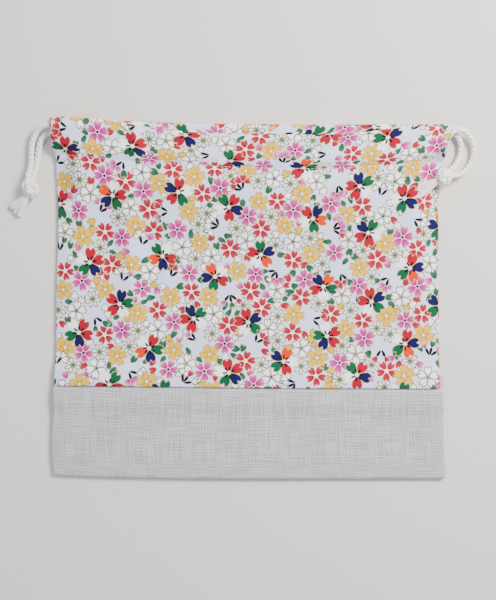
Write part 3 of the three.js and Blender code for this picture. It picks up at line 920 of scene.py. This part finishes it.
# The lie of a cloth piece: its path runs along y and its width along x. lines pairs the path's levels with
# lines of the lie. rightSide is 1 where the cloth's right side is to the left of the path, and -1 otherwise.
def layCloth(path, kind, rightSide, lines, leftEdge, rightEdge):
    thick, flatHalf = cloth[kind]["thick"], cloth[kind]["half"]
    rows, used = evenly(path, cloth["cell"])
    fold, foldUsed = sideFold(thick)
    share = np.linspace(0, 1, int(round(2 * flatHalf / cloth["cell"])) + 1)[1:-1]
    columnShare = np.concatenate([np.zeros(len(fold)), share, np.ones(len(fold))])
    columnIn = np.concatenate([fold[::-1, 0], np.zeros(len(share)), -fold[:, 0]])
    columnDepth = np.concatenate([fold[::-1, 1], np.zeros(len(share)), fold[:, 1]])
    columnFlat = np.concatenate([-flatHalf - foldUsed[::-1], (share * 2 - 1) * flatHalf, flatHalf + foldUsed])
    heading = np.gradient(rows, axis=0)
    heading /= np.linalg.norm(heading, axis=1, keepdims=True)
    y = nominal = np.repeat(rows[:, :1], len(columnFlat), axis=1)
    weights = [np.interp(nominal, [at for at, _ in lines], unit) for unit in np.eye(len(lines))]
    for _ in range(3):
        left = through(leftEdge, y)
        right = through(rightEdge, y)
        x = left + (right - left) * columnShare + columnIn
        moved = sum(weight * (through(line, x) - at) for weight, (at, line) in zip(weights, lines))
        y = nominal + moved / sum(weights)
    return {
        "x": x, "y": y, "z": np.repeat(rows[:, 1:], len(columnFlat), axis=1), "nominal": nominal,
        "flat": np.stack(np.broadcast_arrays(columnFlat, used[:, None]), -1),
        "wrong": np.stack([heading[:, 1], -heading[:, 0]], 1) * rightSide,
        "across": np.clip((x - left) / (right - left), 0, 1), "share": columnShare, "depth": columnDepth,
        "used": used, "kept": keptFold(used), "mouth": int(np.argmax(rows[:, 0])),
        "thick": thick, "rightSide": rightSide,
    }


# The turned-under allowances at the ends of a cloth have next to no side folds of their own
def keptFold(used):
    return 0.1 + 0.9 * smooth(8.3, 10.3, used)


def pointsOf(laid):
    points = np.stack([laid["x"], laid["y"], laid["z"]], -1)
    folded = laid["kept"][:, None] * laid["depth"]
    points[..., 1:] += laid["wrong"][:, None] * folded[..., None]
    return points


# 0 at a cloth's side edges and 1 beyond a share of its width from them
def awayFromSides(laid, share):
    return smooth(0, share, laid["across"]) * smooth(0, share, 1 - laid["across"])


# A casing's facing is cut short at both ends; it starts so many millimetres of cloth after the mouth
def shortenFacing(laid, start, cutBy=0.17):
    past = laid["used"] - laid["used"][laid["mouth"]]
    laid["x"] = laid["x"] * (1 - cutBy * smooth(start, start + 7, past)[:, None])


# The folds of the front as they lie: middle, half length, half width, direction in degrees and height
frontFolds = [
    ((-76, 93), 17, 2.6, 84, 0.9),
    ((-71, 88), 14, 2.2, 97, -0.5),
    ((-78, 30), 62, 8, 93, 2.0),
    ((-62, 20), 60, 6, 91, -0.9),
    ((70, 40), 60, 20, 96, 0.9),
    ((0, 60), 40, 60, 90, 0.7),
    ((104, 30), 46, 7, 88, 0.7),
    ((-108, 30), 50, 7, 90, 0.6),
]
casingGathers = [((-74, 99), 15, 3.2, 84, 1.3), ((-66, 99), 13, 3.0, 97, -0.9)]


def foldsAt(x, y, folds):
    total = np.zeros_like(x)
    for (cx, cy), long, wide, turn, height in folds:
        a = math.radians(turn)
        along = ((x - cx) * math.cos(a) + (y - cy) * math.sin(a)) / long
        across = (-(x - cx) * math.sin(a) + (y - cy) * math.cos(a)) / wide
        total += height * np.exp(-along ** 2 * 1.4 - across ** 2 * 1.4)
    return total


# The front's own shape, in millimetres
front = {
    "afterSeam": (13, 14, 20),  # where it comes down from the seam
    "beforeStitch": (6, 3, 2),  # where it comes up to its stitch line
    "rise": (0.4, 1.2, 2.0, 2.8, 3.6, 4.4, 5.2, 6.0, 7.0, 7.8),  # its steps up to the casing
    "facingEnd": ((3.4, 6.15), (1.8, 5.05), (0.4, 3.45), (-0.6, 2.75)),
    "mouth": 4,
    "raised": 6.0,  # the stitch line above where the layers alone would have it
    "raisedOver": 62,
    "swell": (0.55, 0.42),
    "edges": {"raised": 0.07, "swell": 0.05, "sink": 0.022},  # shares of its width
    "groove": 0.4,  # how far the stitches draw it in
    "pucker": 0.16,
    "sink": 0.5,  # its sides go down to the back
}


def makeFront():
    seam, stitch, top = level["seam"], level["stitch"], level["top"]
    at = layer["front"]
    path = seamFold(at["turn"], at["seam"]) + [(seam + cloth["seamAllowance"], at["seam"])]
    leaves, nears, down = (seam + step for step in front["afterSeam"])
    path += bezier(path[-1], (leaves, at["seam"]), (nears, at["outer"]), (down, at["outer"]))
    leaves, turns, nears = (stitch - step for step in front["beforeStitch"])
    path += [(leaves, at["outer"])]
    path += bezier(path[-1], (turns, at["outer"]), (nears, at["stitch"]), (stitch, at["stitch"]))
    for step in front["rise"]:
        share = smooth(-1, front["rise"][-1], step)
        path += [(stitch + step, at["stitch"] + (at["casing"] - at["stitch"]) * share)]
    path += mouthFold(at["casing"], at["facing"], front["mouth"])
    path += [(stitch + step, height) for step, height in front["facingEnd"]]
    lines = [(seam, lie["seam"]), (stitch, lie["frontStitch"]), (top, lie["frontTop"])]
    laid = layCloth(path, "cotton", 1, lines, lie["left"], lie["right"])
    x, y, z, nominal = laid["x"], laid["y"], laid["z"], laid["nominal"]
    isOuter = (np.arange(len(nominal)) <= laid["mouth"])[:, None]
    # the casing lies over its cords, and the cloth before it rises to its stitch line
    over = overCords(x, y, above=99, below=6.6, floor=at["facing"] + 0.9)
    risen = smooth(stitch - front["raisedOver"], stitch - 2, nominal)
    raised = front["raised"] * awayFromSides(laid, front["edges"]["raised"]) * risen
    facingShare = np.clip((at["facing"] - z) / (at["facing"] - at["outer"]), 0, 1)
    z = z + raised * np.where(isOuter, nominal <= stitch, facingShare)
    low = np.where(isOuter, at["stitch"] + raised, at["facing"])
    started = np.where(isOuter, at["stitch"], at["facing"])
    lifted = np.clip((z - started) / (at["casing"] - started), 0, 1)
    inCasing = (nominal > stitch) & (isOuter | (z > at["facing"]) & (facingShare == 0))
    z = np.where(inCasing, low + lifted * (over - low), z)
    # the body swells a little between its edges and has a few soft folds
    inside = awayFromSides(laid, front["edges"]["swell"])
    alongShare = smooth(seam + 12, seam + 40, nominal) * (1 - smooth(stitch - 10, stitch - 1, nominal))
    swell = front["swell"][0] + front["swell"][1] * unevenness(x, y, 70, 4) + foldsAt(x, y, frontFolds)
    z += np.maximum(swell, -0.2) * inside * alongShare * isOuter
    # small puckers on both sides of the casing's stitches, which draw the cloth in, and up over the casing
    fine, broad = unevenness(x, y * 0.25, 9, 11), unevenness(x, y * 0.2, 21, 12)
    z += (fine + broad) * front["pucker"] * np.exp(-((nominal - stitch) / 7.0) ** 2) * isOuter * inside
    z -= front["groove"] * np.exp(-((nominal - stitch) / 1.1) ** 2) * isOuter * inside
    z += foldsAt(x, y, casingGathers) * smooth(stitch, stitch + 6, nominal) * isOuter
    # the sides sink to the back
    sinking = 1 - awayFromSides(laid, front["edges"]["sink"])
    z -= front["sink"] * sinking * (nominal < stitch - 4) * isOuter
    laid["z"] = z
    shortenFacing(laid, 2)
    return laid


# The back's own shape, in millimetres: its mouth, and how its facing comes down and ends
back = {"mouth": 3, "facingEnd": ((6, 0), (3.6, 0.5), (2, 2)), "endHeight": 0.45, "wave": 0.3}


def makeBack():
    seam, stitch, top = level["seam"], level["stitch"], level["top"]
    at = layer["back"]
    path = seamFold(at["turn"], at["outer"]) + [(top - back["mouth"], at["outer"])]
    path += mouthFold(at["outer"], at["facing"], back["mouth"])
    path += [(stitch + step, at["facing"] - down) for step, down in back["facingEnd"]]
    path += [(stitch, at["outer"] + back["endHeight"])]
    lines = [(seam, lie["seam"]), (stitch, lie["backStitch"]), (top, lie["backTop"])]
    laid = layCloth(path, "cotton", -1, lines, lie["left"], lie["right"])
    x, y, z, nominal = laid["x"], laid["y"], laid["z"], laid["nominal"]
    isFacing = (np.arange(len(nominal)) > laid["mouth"] - 8)[:, None]
    over = overCords(x, y, above=4.2, below=0, floor=2.4)
    share = np.clip((z - at["outer"]) / (at["facing"] - at["outer"]), 0, 1)
    z = np.where(isFacing, at["outer"] + share * (over - at["outer"]), z)
    laid["z"] = z + unevenness(x, y * 0.3, 34, 21) * back["wave"] * isFacing * share
    shortenFacing(laid, 5)
    return laid


# The linen base's own shape, in millimetres: its round corners, its swell, how far past the bottom line its
# fold lies, and where its front comes up to the seam
base = {"corner": 2.2, "swell": (0.35, 0.3), "foldPast": 0.3, "beforeSeam": (20, 14, 13, 8)}


def makeLinenBase():
    seam, bottom = level["seam"], level["bottom"]
    at, backTurn, frontTurn = layer["linen"], layer["back"]["linenTurn"], layer["front"]["linenTurn"]
    allowance = seam + cloth["seamAllowance"]
    backStep = (backTurn - at["back"]) / 2
    frontStep = (at["seam"] - frontTurn) / 2
    fold = (at["front"] - at["back"]) / 2
    path = [(allowance, backTurn)]
    path += roundTurn((seam, backTurn - backStep), backStep, 90, 180)
    path += roundTurn((seam - 2 * backStep, at["back"] + backStep), backStep, 0, -90)
    path += roundTurn((bottom + fold + base["foldPast"], at["back"] + fold), fold, 270, 90, steps=10)
    leaves, turns, nears, ends = (seam - step for step in base["beforeSeam"])
    path += [(leaves, at["front"])]
    path += bezier(path[-1], (turns, at["front"]), (nears, at["seam"]), (ends, at["seam"]))
    path += roundTurn((seam - 2 * frontStep, at["seam"] - frontStep), frontStep, 90, 0)
    path += roundTurn((seam, frontTurn + frontStep), frontStep, 180, 270)
    path += [(allowance, frontTurn)]
    lines = [(bottom, lie["bottom"]), (seam, lie["seam"])]
    laid = layCloth(path, "linen", 1, lines, lie["baseLeft"], lie["baseRight"])
    laid["kept"] *= keptFold(laid["used"][-1] - laid["used"])
    x, y, nominal = laid["x"], laid["y"], laid["nominal"]
    isFront = (np.arange(len(nominal)) > int(np.argmin(nominal[:, 0])))[:, None]
    alongShare = smooth(bottom + 3, bottom + 16, nominal) * (1 - smooth(seam - 10, seam - 2, nominal))
    swell = base["swell"][0] + base["swell"][1] * unevenness(x, y, 60, 31)
    laid["z"] += np.maximum(swell, -0.1) * awayFromSides(laid, 0.04) * alongShare * isFront
    # rounded corners at the bottom fold
    corner = base["corner"]
    rise = np.clip(corner - (y - y.min(axis=0, keepdims=True)), 0, corner)
    inset = corner - np.sqrt(np.maximum(corner ** 2 - rise ** 2, 0))
    inwards = np.where(laid["across"] < 0.5, 1, -1) * (np.abs(laid["across"] - 0.5) > 0.48)
    laid["x"] = x + inset * inwards
    return laid


say("cutting the cloth")
frontLaid, backLaid, linenLaid = makeFront(), makeBack(), makeLinenBase()
frontPanel = gridSheet("printed_front", frontLaid, [printedCotton, wrongSide])
backPanel = gridSheet("printed_back", backLaid, [printedCotton, wrongSide])
linenPiece = gridSheet("folded_linen_base", linenLaid, [undyedLinen])
for name, laid in (("front", frontLaid), ("back", backLaid), ("linen", linenLaid)):
    wide = laid["flat"][0, -1, 0] - laid["flat"][0, 0, 0]
    say(f"{name} cut {wide:.1f} x {laid['used'][-1]:.1f} mm")
printOnto(frontPanel, frontLaid, scatterPrint(blossomPrint["seeds"]["front"]))
printOnto(backPanel, backLaid, scatterPrint(blossomPrint["seeds"]["back"]))
say("print")


# The knots: one overhand knot in both strands of a cord, drawn up tight. The line of the left one runs from
# where the strands come in, round its smaller loop, under and round the larger one, and in at the middle.
# Millimetres from the knot's middle. A strand is thinner at its hidden ends, over the length endOver.
knots = {
    "line": [
        (0.2, 4.6, 0.6), (-2.2, 4.2, 1.0), (-3.7, 2.4, 0.6), (-3.5, 0.2, -0.6), (-2.3, -1.9, -1.4),
        (0.0, -3.6, -1.0), (2.3, -3.2, 0.2), (3.5, -1.2, 1.2), (3.4, 1.0, 1.8), (1.9, 2.6, 2.2),
        (-0.2, 2.2, 2.5), (-1.3, 0.3, 2.6), (-0.7, -1.5, 2.4), (0.9, -1.9, 1.8), (1.7, -0.6, 0.9),
        (1.0, 0.4, -0.4),
    ],
    "back": [(2.2, 3.6, -0.8), (0.2, 2.2, -2.2), (-1.2, 0.2, -2.4), (-2.4, -2.4, -1.6), (-3.2, -4.2, -0.8)],
    "fullness": 1.16,
    "endShare": 0.72,
    "endOver": 2.2,
    "ringStep": 0.5,
    "left": {"middle": (-140.0, 68.5, 5.0), "turn": 0, "size": 1.0},
    "right": {"middle": (122.4, 75.4, 8.0), "turn": -38, "size": 0.88},
}


def makeKnot(side):
    spec = knots[side]
    vertices, faces, strand = [], [], []
    for line in ("line", "back"):
        points = np.array(knots[line]) @ turnBy(spec["turn"]) * spec["size"] + spec["middle"]
        path, length = smoothPath(points * mm, knots["ringStep"] * mm)
        ends = np.minimum(np.linspace(0, length, len(path)), np.linspace(length, 0, len(path)))
        thinned = knots["endShare"] + (1 - knots["endShare"]) * smooth(0, knots["endOver"] * mm, ends)
        part = twistedStrands(path, length, squeeze=knots["fullness"] * thinned)
        before = sum(len(v) for v in vertices)
        faces += [[v + before for v in face] for face in part[1]]
        vertices.append(part[0])
        strand.append(part[2])
    return makePiece(side + "_overhand_knot", np.concatenate(vertices), faces, [cordCotton], "strand",
                     np.concatenate(strand))


knotPieces = {side: makeKnot(side) for side in ("left", "right")}


# Round yarns or fibres along the curves of a Geometry Nodes tree
def addYarns(tree, curve, radius, sides):
    section = addNode(tree, "GeometryNodeCurvePrimitiveCircle", None, Resolution=sides, Radius=radius)
    return addNode(tree, "GeometryNodeCurveToMesh", None, Curve=curve, Profile_Curve=section, Fill_Caps=True)


# Every Geometry Nodes tree ends in a real mesh with its material
def finishTree(tree, made, material):
    realized = addNode(tree, "GeometryNodeRealizeInstances", None, made)
    dyed = addNode(tree, "GeometryNodeSetMaterial", None, realized, Material=material)
    addNode(tree, "NodeGroupOutput", None, dyed)
    return tree


# Runs a Geometry Nodes tree once and keeps its plain mesh
def meshFromTree(name, tree, start=None, **settings):
    piece = putOut(name, start or bpy.data.meshes.new(name))
    modifier = piece.modifiers.new("making", "NODES")
    modifier.node_group = tree
    for item in tree.interface.items_tree:
        key = item.name.replace(" ", "_")
        if item.in_out == "INPUT" and key in settings:
            modifier[item.identifier] = settings[key]
    bpy.context.view_layer.update()
    evaluated = piece.evaluated_get(bpy.context.evaluated_depsgraph_get())
    made = bpy.data.meshes.new_from_object(evaluated)
    piece.modifiers.clear()
    piece.data = made
    made.name = name
    return piece


# Lines as a mesh of edges, for a tree to follow
def lineMesh(name, lines):
    points, edges = [], []
    for line in lines:
        edges += [(len(points) + i, len(points) + i + 1) for i in range(len(line) - 1)]
        points += line.tolist()
    mesh = bpy.data.meshes.new(name)
    mesh.from_pydata(points, edges, [])
    return mesh


# The frayed ends: a brush of single yarns that leaves the knot and spreads, made by Geometry Nodes. Its yarns
# are fewer and coarser than real ones, so that they show. Millimetres; the sizes are inputs of the tree.
brushes = {
    "yarns": 170,
    "locks": 9,
    "yarnRadius": 0.26,
    "seed": 5,
    "left": {"root": (-142.6, 65.4, 3.6), "turn": -36,
             "sizes": {"Length": 15.2, "Root_Width": 3.2, "Tip_Width": 11.0, "Root_Thickness": 3.0,
                       "Tip_Thickness": 2.6, "Fall": -1.5}},
    "right": {"root": (119.6, 73.8, 7.4), "turn": -64,
              "sizes": {"Length": 18.0, "Root_Width": 3.4, "Tip_Width": 10.0, "Root_Thickness": 3.0,
                        "Tip_Thickness": 2.6, "Fall": -0.3}},
}


def makeBrushTree():
    floats = ("Yarn Radius", "Length", "Root Width", "Root Thickness", "Tip Width", "Tip Thickness", "Fall")
    inputs = {"Geometry": "Geometry", "Yarns": "Int", "Locks": "Int", **dict.fromkeys(floats, "Float"),
              "Seed": "Int", "Yarn": "Material"}
    tree, value = newGroup("frayed yarns", "GeometryNodeTree", inputs, {"Geometry": "Geometry"})
    # one point for each yarn, then a short line that is bent along its own way
    line = addNode(tree, "GeometryNodeCurvePrimitiveLine", None, Start=(0, 0, 0), End=(0, -1, 0))
    cut = addNode(tree, "GeometryNodeResampleCurve", None, Curve=line, Count=9)
    spots = addNode(tree, "GeometryNodePoints", None, Count=value["Yarns"])
    copies = addNode(tree, "GeometryNodeInstanceOnPoints", None, Points=spots, Instance=cut)
    which = addNode(tree, "GeometryNodeInputIndex")
    stored = addNode(tree, "GeometryNodeStoreNamedAttribute", {"data_type": "FLOAT", "domain": "INSTANCE"},
                     Geometry=copies, Name="yarn", Value=which)
    loose = addNode(tree, "GeometryNodeRealizeInstances", None, stored)
    value["yarn"] = addNode(tree, "GeometryNodeInputNamedAttribute", {"data_type": "FLOAT"}, Name="yarn")
    value["along"] = addNode(tree, "GeometryNodeSplineParameter").outputs["Factor"]
    # yarns gather into locks: a lock has its own way across the brush, and each yarn lies near its lock
    addTable(tree, value, [("lock", "MODULO", "yarn", "Locks")])
    chances = [("angle", "yarn"), ("reach", "yarn"), ("long", "yarn"), ("phase", "yarn"),
               ("lockPlace", "lock"), ("lockHeight", "lock"), ("lockLong", "lock")]
    for number, (name, owner) in enumerate(chances):
        addTable(tree, value, [("seed", "ADD", "Seed", number * 17.0)])
        value[name] = addNode(tree, "FunctionNodeRandomValue", {"data_type": "FLOAT"}, ID=value[owner],
                              Seed=value["seed"])
    addTable(tree, value, [
        ("turn", "MULTIPLY", "angle", fullTurn),
        ("spread", "POWER", "reach", 0.55),
        ("cosine", "COSINE", "turn"),
        ("sine", "SINE", "turn"),
        ("ownAcross", "MULTIPLY", "cosine", "spread"),
        ("ownUp", "MULTIPLY", "sine", "spread"),
        # the locks stand side by side over the width, a little unevenly
        ("lockEven", "DIVIDE", "lock", "Locks"),
        ("lockShare", "MULTIPLY_ADD", "lockPlace", 0.1, "lockEven"),
        ("lockAcross", "MULTIPLY_ADD", "lockShare", 1.9, -0.95),
        ("lockUp", "MULTIPLY_ADD", "lockHeight", 1.4, -0.7),
        ("gathered", "SUBTRACT", 1.0, "along"),
    ])
    # a yarn leaves the root at its own place and comes to its lock's
    for way, size, own in (("Across", "Width", 0.12), ("Up", "Thickness", 0.4)):
        addTable(tree, value, [
            ("root", "MULTIPLY", "own" + way, "gathered"),
            ("sum", "MULTIPLY_ADD", "lock" + way, "along", "root"),
            ("share", "MULTIPLY_ADD", "own" + way, own, "sum"),
            ("gain", "SUBTRACT", "Tip " + size, "Root " + size),
            ("size", "MULTIPLY_ADD", "gain", "along", "Root " + size),
            ("half", "MULTIPLY", "share", 0.5),
            ("off" + way, "MULTIPLY", "half", "size"),
        ])
    addTable(tree, value, [
        # some yarns and locks are shorter than others
        ("lockShort", "MULTIPLY", "lockLong", 0.2),
        ("short", "MULTIPLY_ADD", "long", 0.12, "lockShort"),
        ("longLeft", "SUBTRACT", 1.0, "short"),
        ("alongShare", "MULTIPLY", "along", "longLeft"),
        ("down", "MULTIPLY", "alongShare", "Length"),
        ("y", "MULTIPLY", "down", -1.0),
        # each waves a little and falls towards its tip
        ("waveFrom", "MULTIPLY", "phase", anyTurn[1]),
        ("waves", "MULTIPLY_ADD", "along", 7.0, "waveFrom"),
        ("wave", "SINE", "waves"),
        ("waveSize", "MULTIPLY", "along", 0.0003),
        ("x", "MULTIPLY_ADD", "wave", "waveSize", "offAcross"),
        ("alongSquared", "MULTIPLY", "along", "along"),
        ("z", "MULTIPLY_ADD", "alongSquared", "Fall", "offUp"),
    ])
    spot = addNode(tree, "ShaderNodeCombineXYZ", None, value["x"], value["y"], value["z"])
    bent = addNode(tree, "GeometryNodeSetPosition", None, Geometry=loose, Position=spot)
    return finishTree(tree, addYarns(tree, bent, value["Yarn Radius"], 4), value["Yarn"])


def placeMesh(piece, middle, turn):
    places = np.empty(len(piece.data.vertices) * 3)
    piece.data.vertices.foreach_get("co", places)
    places = places.reshape(-1, 3) @ turnBy(turn) + np.array(middle) * mm
    piece.data.vertices.foreach_set("co", places.ravel())
    piece.data.update()


brushTree = makeBrushTree()
brushPieces = {}
for number, side in enumerate(("left", "right")):
    spec = brushes[side]
    brush = meshFromTree(side + "_frayed_ends", brushTree, Yarns=brushes["yarns"], Locks=brushes["locks"],
                         Yarn_Radius=brushes["yarnRadius"] * mm, Seed=brushes["seed"] + number,
                         Yarn=cordCotton, **{key: size * mm for key, size in spec["sizes"].items()})
    placeMesh(brush, spec["root"], spec["turn"])
    brushPieces[side] = brush
    say(f"{side} brush, {len(brush.data.vertices)} vertices")


# The casing's stitches: a row of short threads that follows the cloth, made by Geometry Nodes. Millimetres.
stitches = {"pitch": 2.5, "length": 1.9, "thick": 0.34, "sunk": 0.05, "fromSide": 0.006}


def makeStitchTree():
    floats = dict.fromkeys(("Pitch", "Length", "Thickness"), "Float")
    tree, value = newGroup("row of stitches", "GeometryNodeTree",
                           {"Geometry": "Geometry", **floats, "Thread": "Material"}, {"Geometry": "Geometry"})
    line = addNode(tree, "GeometryNodeMeshToCurve", None, Mesh=value["Geometry"])
    spots = addNode(tree, "GeometryNodeCurveToPoints", {"mode": "LENGTH"}, Curve=line, Length=value["Pitch"])
    along = addNode(tree, "FunctionNodeAlignRotationToVector", {"axis": "X"}, Vector=spots.outputs["Tangent"])
    bead = addNode(tree, "GeometryNodeMeshUVSphere", None, Segments=8, Rings=5, Radius=0.5)
    size = addNode(tree, "ShaderNodeCombineXYZ", None, value["Length"], value["Thickness"],
                   value["Thickness"])
    rows = addNode(tree, "GeometryNodeInstanceOnPoints", None, Points=spots, Instance=bead, Rotation=along,
                   Scale=size)
    return finishTree(tree, rows, value["Thread"])


# The line on a cloth's right side that runs nearest to a level, from one side edge to the other
def lineAcross(laid, levelAt):
    points = pointsOf(laid)
    row = int(np.argmin(np.abs(laid["nominal"][:laid["mouth"], 0] - levelAt)))
    normal = np.cross(np.gradient(points, axis=1), np.gradient(points, axis=0))[row]
    normal /= np.linalg.norm(normal, axis=1, keepdims=True)
    surface = points[row] + normal * laid["rightSide"] * (laid["thick"] / 2 - stitches["sunk"])
    surface[:, 2] = np.maximum(surface[:, 2], stitches["thick"] / 2)  # none goes into the table
    inside = (laid["share"] > stitches["fromSide"]) & (laid["share"] < 1 - stitches["fromSide"])
    return surface[inside] * mm


stitchTree = makeStitchTree()
stitchRows = []
for name, laid in (("front", frontLaid), ("back", backLaid)):
    start = lineMesh(name + " stitch line", [lineAcross(laid, level["stitch"])])
    row = meshFromTree(name + "_casing_stitches", stitchTree, start, Pitch=stitches["pitch"] * mm,
                       Length=stitches["length"] * mm, Thickness=stitches["thick"] * mm, Thread=sewingThread)
    stitchRows.append(row)
    say(f"{name} stitches, {len(row.data.vertices)} vertices")


# Loose fibres: a few long ones under the bottom fold and a tuft at the end of the left slit. Millimetres.
fibres = {
    "radius": 0.07,
    "seed": 3,
    "longStep": 0.8,
    "tuftStep": 0.5,
    "long": [
        [(-84, -111, 0.6), (-86, -116, 0.4), (-87.5, -122, 0.3), (-85, -127, 0.3), (-80, -130, 0.3)],
        [(-44, -112, 0.6), (-36, -114, 0.4), (-29, -117, 0.3), (-25, -121, 0.3)],
        [(-6, -113, 0.6), (-2, -116.5, 0.4), (4, -117.5, 0.3)],
        [(72, -116, 0.6), (76, -119.5, 0.4), (82, -120, 0.3)],
    ],
    "tuft": {"from": (-124.2, 94.0, 4.2), "count": 9, "reach": 2.6, "ways": (2.6, 4.4)},
}


def makeFibreTree():
    inputs = {"Geometry": "Geometry", "Radius": "Float", "Thread": "Material"}
    tree, value = newGroup("loose fibres", "GeometryNodeTree", inputs, {"Geometry": "Geometry"})
    line = addNode(tree, "GeometryNodeMeshToCurve", None, Mesh=value["Geometry"])
    return finishTree(tree, addYarns(tree, line, value["Radius"], 5), value["Thread"])


def makeFibres():
    draw = random.Random(fibres["seed"])
    tuft = fibres["tuft"]
    lines = [smoothPath(np.array(line) * mm, fibres["longStep"] * mm)[0] for line in fibres["long"]]
    x, y, z = tuft["from"]
    for _ in range(tuft["count"]):
        way, reach = draw.uniform(*tuft["ways"]), tuft["reach"] * draw.uniform(0.6, 1.2)
        bend = draw.uniform(-0.8, 0.8)
        startY = y + draw.uniform(-1.2, 1.2)
        points = [(x, startY, z)]
        for share in (0.5, 1.0):
            turn = way + bend * share
            far = reach * share
            points.append((x + far * math.cos(turn), startY + far * math.sin(turn), z - share))
        lines.append(smoothPath(np.array(points) * mm, fibres["tuftStep"] * mm)[0])
    return meshFromTree("loose_fibres", makeFibreTree(), lineMesh("fibre lines", lines),
                        Radius=fibres["radius"] * mm, Thread=sewingThread)


looseFibres = makeFibres()
say("loose fibres")


# Floor, lights and sky, in metres
studio = {
    "floor": {"reach": 3, "colour": "DCD8D2"},
    "key": {"place": (0.52, 0.44, 0.62), "size": 0.34, "power": 19.0, "colour": "FFFAF3"},
    "fill": {"place": (-0.6, -0.3, 0.75), "size": 0.9, "power": 3.4, "colour": "E8EEFF"},
    "sky": {"colour": "EEF1FA", "strength": 0.72},
}


def makeFloor():
    reach = studio["floor"]["reach"]
    mesh = bpy.data.meshes.new("floor")
    corners = [(-reach, -reach, 0), (reach, -reach, 0), (reach, reach, 0), (-reach, reach, 0)]
    mesh.from_pydata(corners, [], [(0, 1, 2, 3)])
    material, tree, shader, _ = newMaterial("matt paper floor")
    joinInputs(tree, shader, Base_Color=fromHex(studio["floor"]["colour"]), Roughness=0.9,
               Specular_IOR_Level=0.2)
    mesh.materials.append(material)
    floor = putOut("floor", mesh)


def makeLights():
    for name in ("key", "fill"):
        spec = studio[name]
        data = bpy.data.lights.new(name, "AREA")
        data.size = spec["size"]
        data.energy = spec["power"]
        data.color = fromHex(spec["colour"])[:3]
        light = putOut(name, data)
        light.location = spec["place"]
        light.rotation_euler = (-Vector(spec["place"])).to_track_quat("-Z", "Y").to_euler()
    world = bpy.data.worlds.new("studio")
    bpy.context.scene.world = world
    world.use_nodes = True
    background = world.node_tree.nodes["Background"]
    background.inputs[0].default_value = fromHex(studio["sky"]["colour"])
    background.inputs[1].default_value = studio["sky"]["strength"]


makeFloor()
makeLights()
say("floor and lights")

# What each piece stands for in the model, whose part is hidden, and the finish it is listed with
standsFor = [
    (frontPanel, "front_panel", "printed_cotton"),
    (backPanel, "back_panel", "printed_cotton"),
    (linenPiece, "linen_base", "natural_linen"),
]
for side in ("left", "right"):
    standsFor += [
        (drawcords[side]["piece"], side + "_drawcord", "cotton_cord"),
        (knotPieces[side], side + "_knot", "cotton_cord"),
        (brushPieces[side], side + "_cord_ends", "cotton_cord"),
    ]
for piece, node, slot in standsFor:
    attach(piece, "root")
    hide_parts(node)

for row in stitchRows:
    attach(row, "root")
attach(looseFibres, "root")

exits = {"left": (-0.134, 0.0995, 0.0025), "right": (0.1328, 0.1015, 0.0026)}
for side in ("left", "right"):
    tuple(exits[side])

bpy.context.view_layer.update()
say("done")
